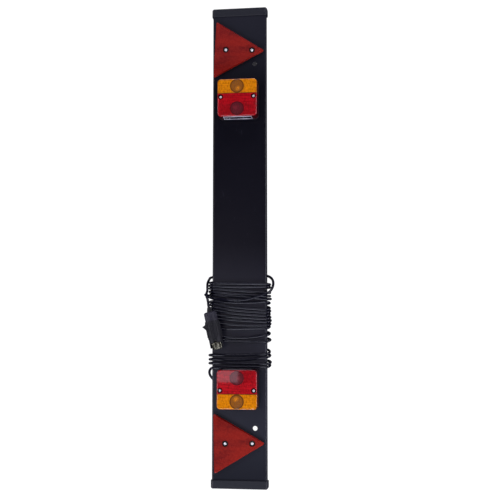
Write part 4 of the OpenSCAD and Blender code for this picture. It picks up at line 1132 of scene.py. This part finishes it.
# %% Cables behind the board
WALL_Z, LINK_D, LINK_X, LINK_Z = 26.0, 5.0, 45.0, 22.0
LINK_HOLE, SUPPLY_HOLE = (-14.0, -5.0), (4.0, -6.0)
LINK_BEND = [(0, 0, 10), (0, 0, -1.5), (0.01, -1, -6), (0.03, -4, -9.8), (0.08, -8.5, -12),
             (0.15, -15, -12.5), (0.27, -23, -11.3), (0.43, -33, -9), (0.62, -44, -6.6), (0.8, -54, -4.9),
             (0.94, -64, -4.1), (1, -75, -4)]
SUPPLY_BEND = [(0, 0, 10), (0, 0, -1.5), (-0.8, 0.6, -6.5), (-2.9, 2.4, -10.7), (-6.2, 5.2, -13.5),
               (-10, 8.4, -14.5)]
SUPPLY_RUN = [(-19, -348.5, 11.5), (-24, -347.5, 11.5), (-36, -347.5, 11.5)]


def link_half(side):
    hole_x = side * LINK_HOLE[0]
    return [Vector((hole_x + (LINK_X - hole_x) * share, side * (LAMP_Y + LINK_HOLE[1] + along),
                    LINK_Z if share == 1 else WALL_Z + up)) * MM for share, along, up in LINK_BEND]


supply = [Vector((x - SUPPLY_HOLE[0], y - LAMP_Y - SUPPLY_HOLE[1], z + WALL_Z)) * MM for x, y, z in SUPPLY_BEND]
supply += [Vector(p) * MM for p in SUPPLY_RUN]
for name, points, diameter in (("link_cable", link_half(1) + link_half(-1)[::-1], LINK_D),
                               ("supply_cable", supply, LEAD_D)):
    cable = tube(name + "_smooth", smooth(points, 4 * MM), diameter / 2 * MM, sides=12)
    cable.data.materials.append(MATERIALS["lead sheath"])
    declare(cable, "cable_sheath", name)
print("cables behind the board made")

# %% [markdown]
# ## The plug's boot and pins
# Everything on the plug is drawn along its own axis, from the back of its collar. The rubber boot is
# turned on the lathe with grooves that let it bend. A pin is a plated rod with a round nose and a saw
# cut, which lets it spring a little in the socket. One pin is made, and the tree that repeated the
# screws sets seven of them, six in a circle and one in the middle.

# %% Boot and pins
PLUG_AT, PLUG_LEAN = (-71.0, -175.0, 54.0), math.radians(12.4)
BOOT_L, BOOT_INSIDE, BOOT_TAIL_R, BOOT_NECK_R = 20.0, 8.0, 4.5, 8.0
GROOVES, GROOVE_PITCH, GROOVE_DEPTH = 4, 2.7, 0.8
PIN_D, PIN_LOW, PIN_TIP, PIN_CIRCLE_R = 4.5, 63.0, 95.0, 9.5
SAW_W, SAW_L, SAW_BACK = 0.9, 12, 4
in_plug = (Matrix.Scale(MM, 4) @ Matrix.Translation(PLUG_AT) @ Matrix.Rotation(PLUG_LEAN, 4, "Z")
           @ Matrix.Rotation(math.pi / 2, 4, "X"))


def boot_profile():
    """The cone's radius at each height, cut by grooves."""
    tail_z = BOOT_INSIDE - BOOT_L
    profile = [(0, tail_z), (BOOT_TAIL_R - 0.4, tail_z), (BOOT_TAIL_R, tail_z + 0.4)]
    for k in range(GROOVES):
        for dz, depth in ((1.6, 0.0), (1.9, GROOVE_DEPTH), (2.5, GROOVE_DEPTH), (2.8, 0.0)):
            z = tail_z + 0.4 + GROOVE_PITCH * k + dz
            profile.append((BOOT_TAIL_R + (BOOT_NECK_R - BOOT_TAIL_R) * (z - tail_z) / -tail_z - depth, z))
    return profile + [(BOOT_NECK_R, 0.2), (BOOT_NECK_R, BOOT_INSIDE), (0, BOOT_INSIDE)]


def slotted_pin():
    r = PIN_D / 2
    nose = [(r * math.cos(a), PIN_TIP - r + r * math.sin(a)) for a in (math.radians(15 * k) for k in range(6))]
    rod, saw = bmesh.new(), bmesh.new()
    lathe(rod, [(0, PIN_LOW), (r, PIN_LOW), *nose, (0, PIN_TIP)], Matrix.Scale(MM, 4), 24)
    at = Matrix.Translation((0, 0, (PIN_TIP - SAW_BACK) * MM))
    bmesh.ops.create_cube(saw, size=1, matrix=at @ Matrix.Diagonal((2 * PIN_D * MM, SAW_W * MM, SAW_L * MM, 1)))
    return add_object("pin", cut_away(bare_object("rod", rod), bare_object("saw", saw)))


boot = bmesh.new()
lathe(boot, boot_profile(), in_plug, 36)
finished["plug_boot"] = finish_mesh("plug_boot_finished", boot, "black rubber", "black_rubber", "plug_boot",
                                    sharp=50)
pin_places = [Vector((0, 0, 0))] + [Vector((PIN_CIRCLE_R * math.cos(a), PIN_CIRCLE_R * math.sin(a), 0)) * MM
                                    for a in (math.radians(60 * k) for k in range(6))]
pins = repeated("plug_pins", pin_places, slotted_pin(), "nickel pin", "pin_brass", 0.5, 4)
pins.data.transform(in_plug @ Matrix.Scale(1 / MM, 4))
finished["plug_pins"] = pins
print("plug pins", len(pin_places))

# %% [markdown]
# The mouth of the plug's shell is cut away on top, as the photograph shows it: its lower half still
# guards the pins, and the rest lies open. The cut is a box taken out of the piece's mesh, under the
# bevel that rounds its edges.

# %% The mouth of the plug
CUT_W, CUT_LOW, CUT_HIGH, CUT_Z = 40.0, 3.0, 30.0, (78.0, 95.0)


def open_mouth(shell):
    body, box = add_object("shell_body", shell.data.copy()), bmesh.new()
    size = Matrix.Diagonal((CUT_W, CUT_HIGH - CUT_LOW, CUT_Z[1] - CUT_Z[0], 1))
    at = Matrix.Translation((0, (CUT_LOW + CUT_HIGH) / 2, sum(CUT_Z) / 2))
    bmesh.ops.create_cube(box, size=1, matrix=in_plug @ at @ size)
    shell.data = cut_away(body, bare_object("mouth", box))


open_mouth(finished["plug_shell"])
print("plug shell", len(finished["plug_shell"].data.polygons), "faces")

# %% [markdown]
# The board has a fixing hole near each end. The lower one shows the ground through it, and the upper
# one is dark with shade, so a dark rubber disc, dished in the middle, is put in it as painted shade.

# %% A dark disc in the upper hole, as painted shade
HOLE_AT, HOLE_R = (40.0, 464.0), 6.0
DISH = [(0, -3.2), (HOLE_R - 0.1, -3.2), (HOLE_R - 0.1, -0.6), (HOLE_R - 0.7, 0.0), (HOLE_R - 1.8, -0.5),
        (HOLE_R - 2.6, -1.4), (0, -1.8)]
# painted shade: a dark dished rubber disc stands in for the shade seen through the upper hole
shade_disc = bmesh.new()
lathe(shade_disc, DISH, Matrix.Scale(MM, 4) @ Matrix.Translation((*HOLE_AT, FACE_Z)))
finish_mesh("hole_plug", shade_disc, "black rubber", "black_rubber", sharp=50)
print("shade disc at", HOLE_AT)

# %% [markdown]
# ## Declaring the lead
# The lead stands for all the plain solids that the CAD model has for it, which are hidden in its place,
# and it takes the sheath's finish.

declare(lead, "cable_sheath", "cord_entry", "small_winding", "cord_bridge", "large_winding", "cord_tail")
lead.data.materials.append(MATERIALS["lead sheath"])
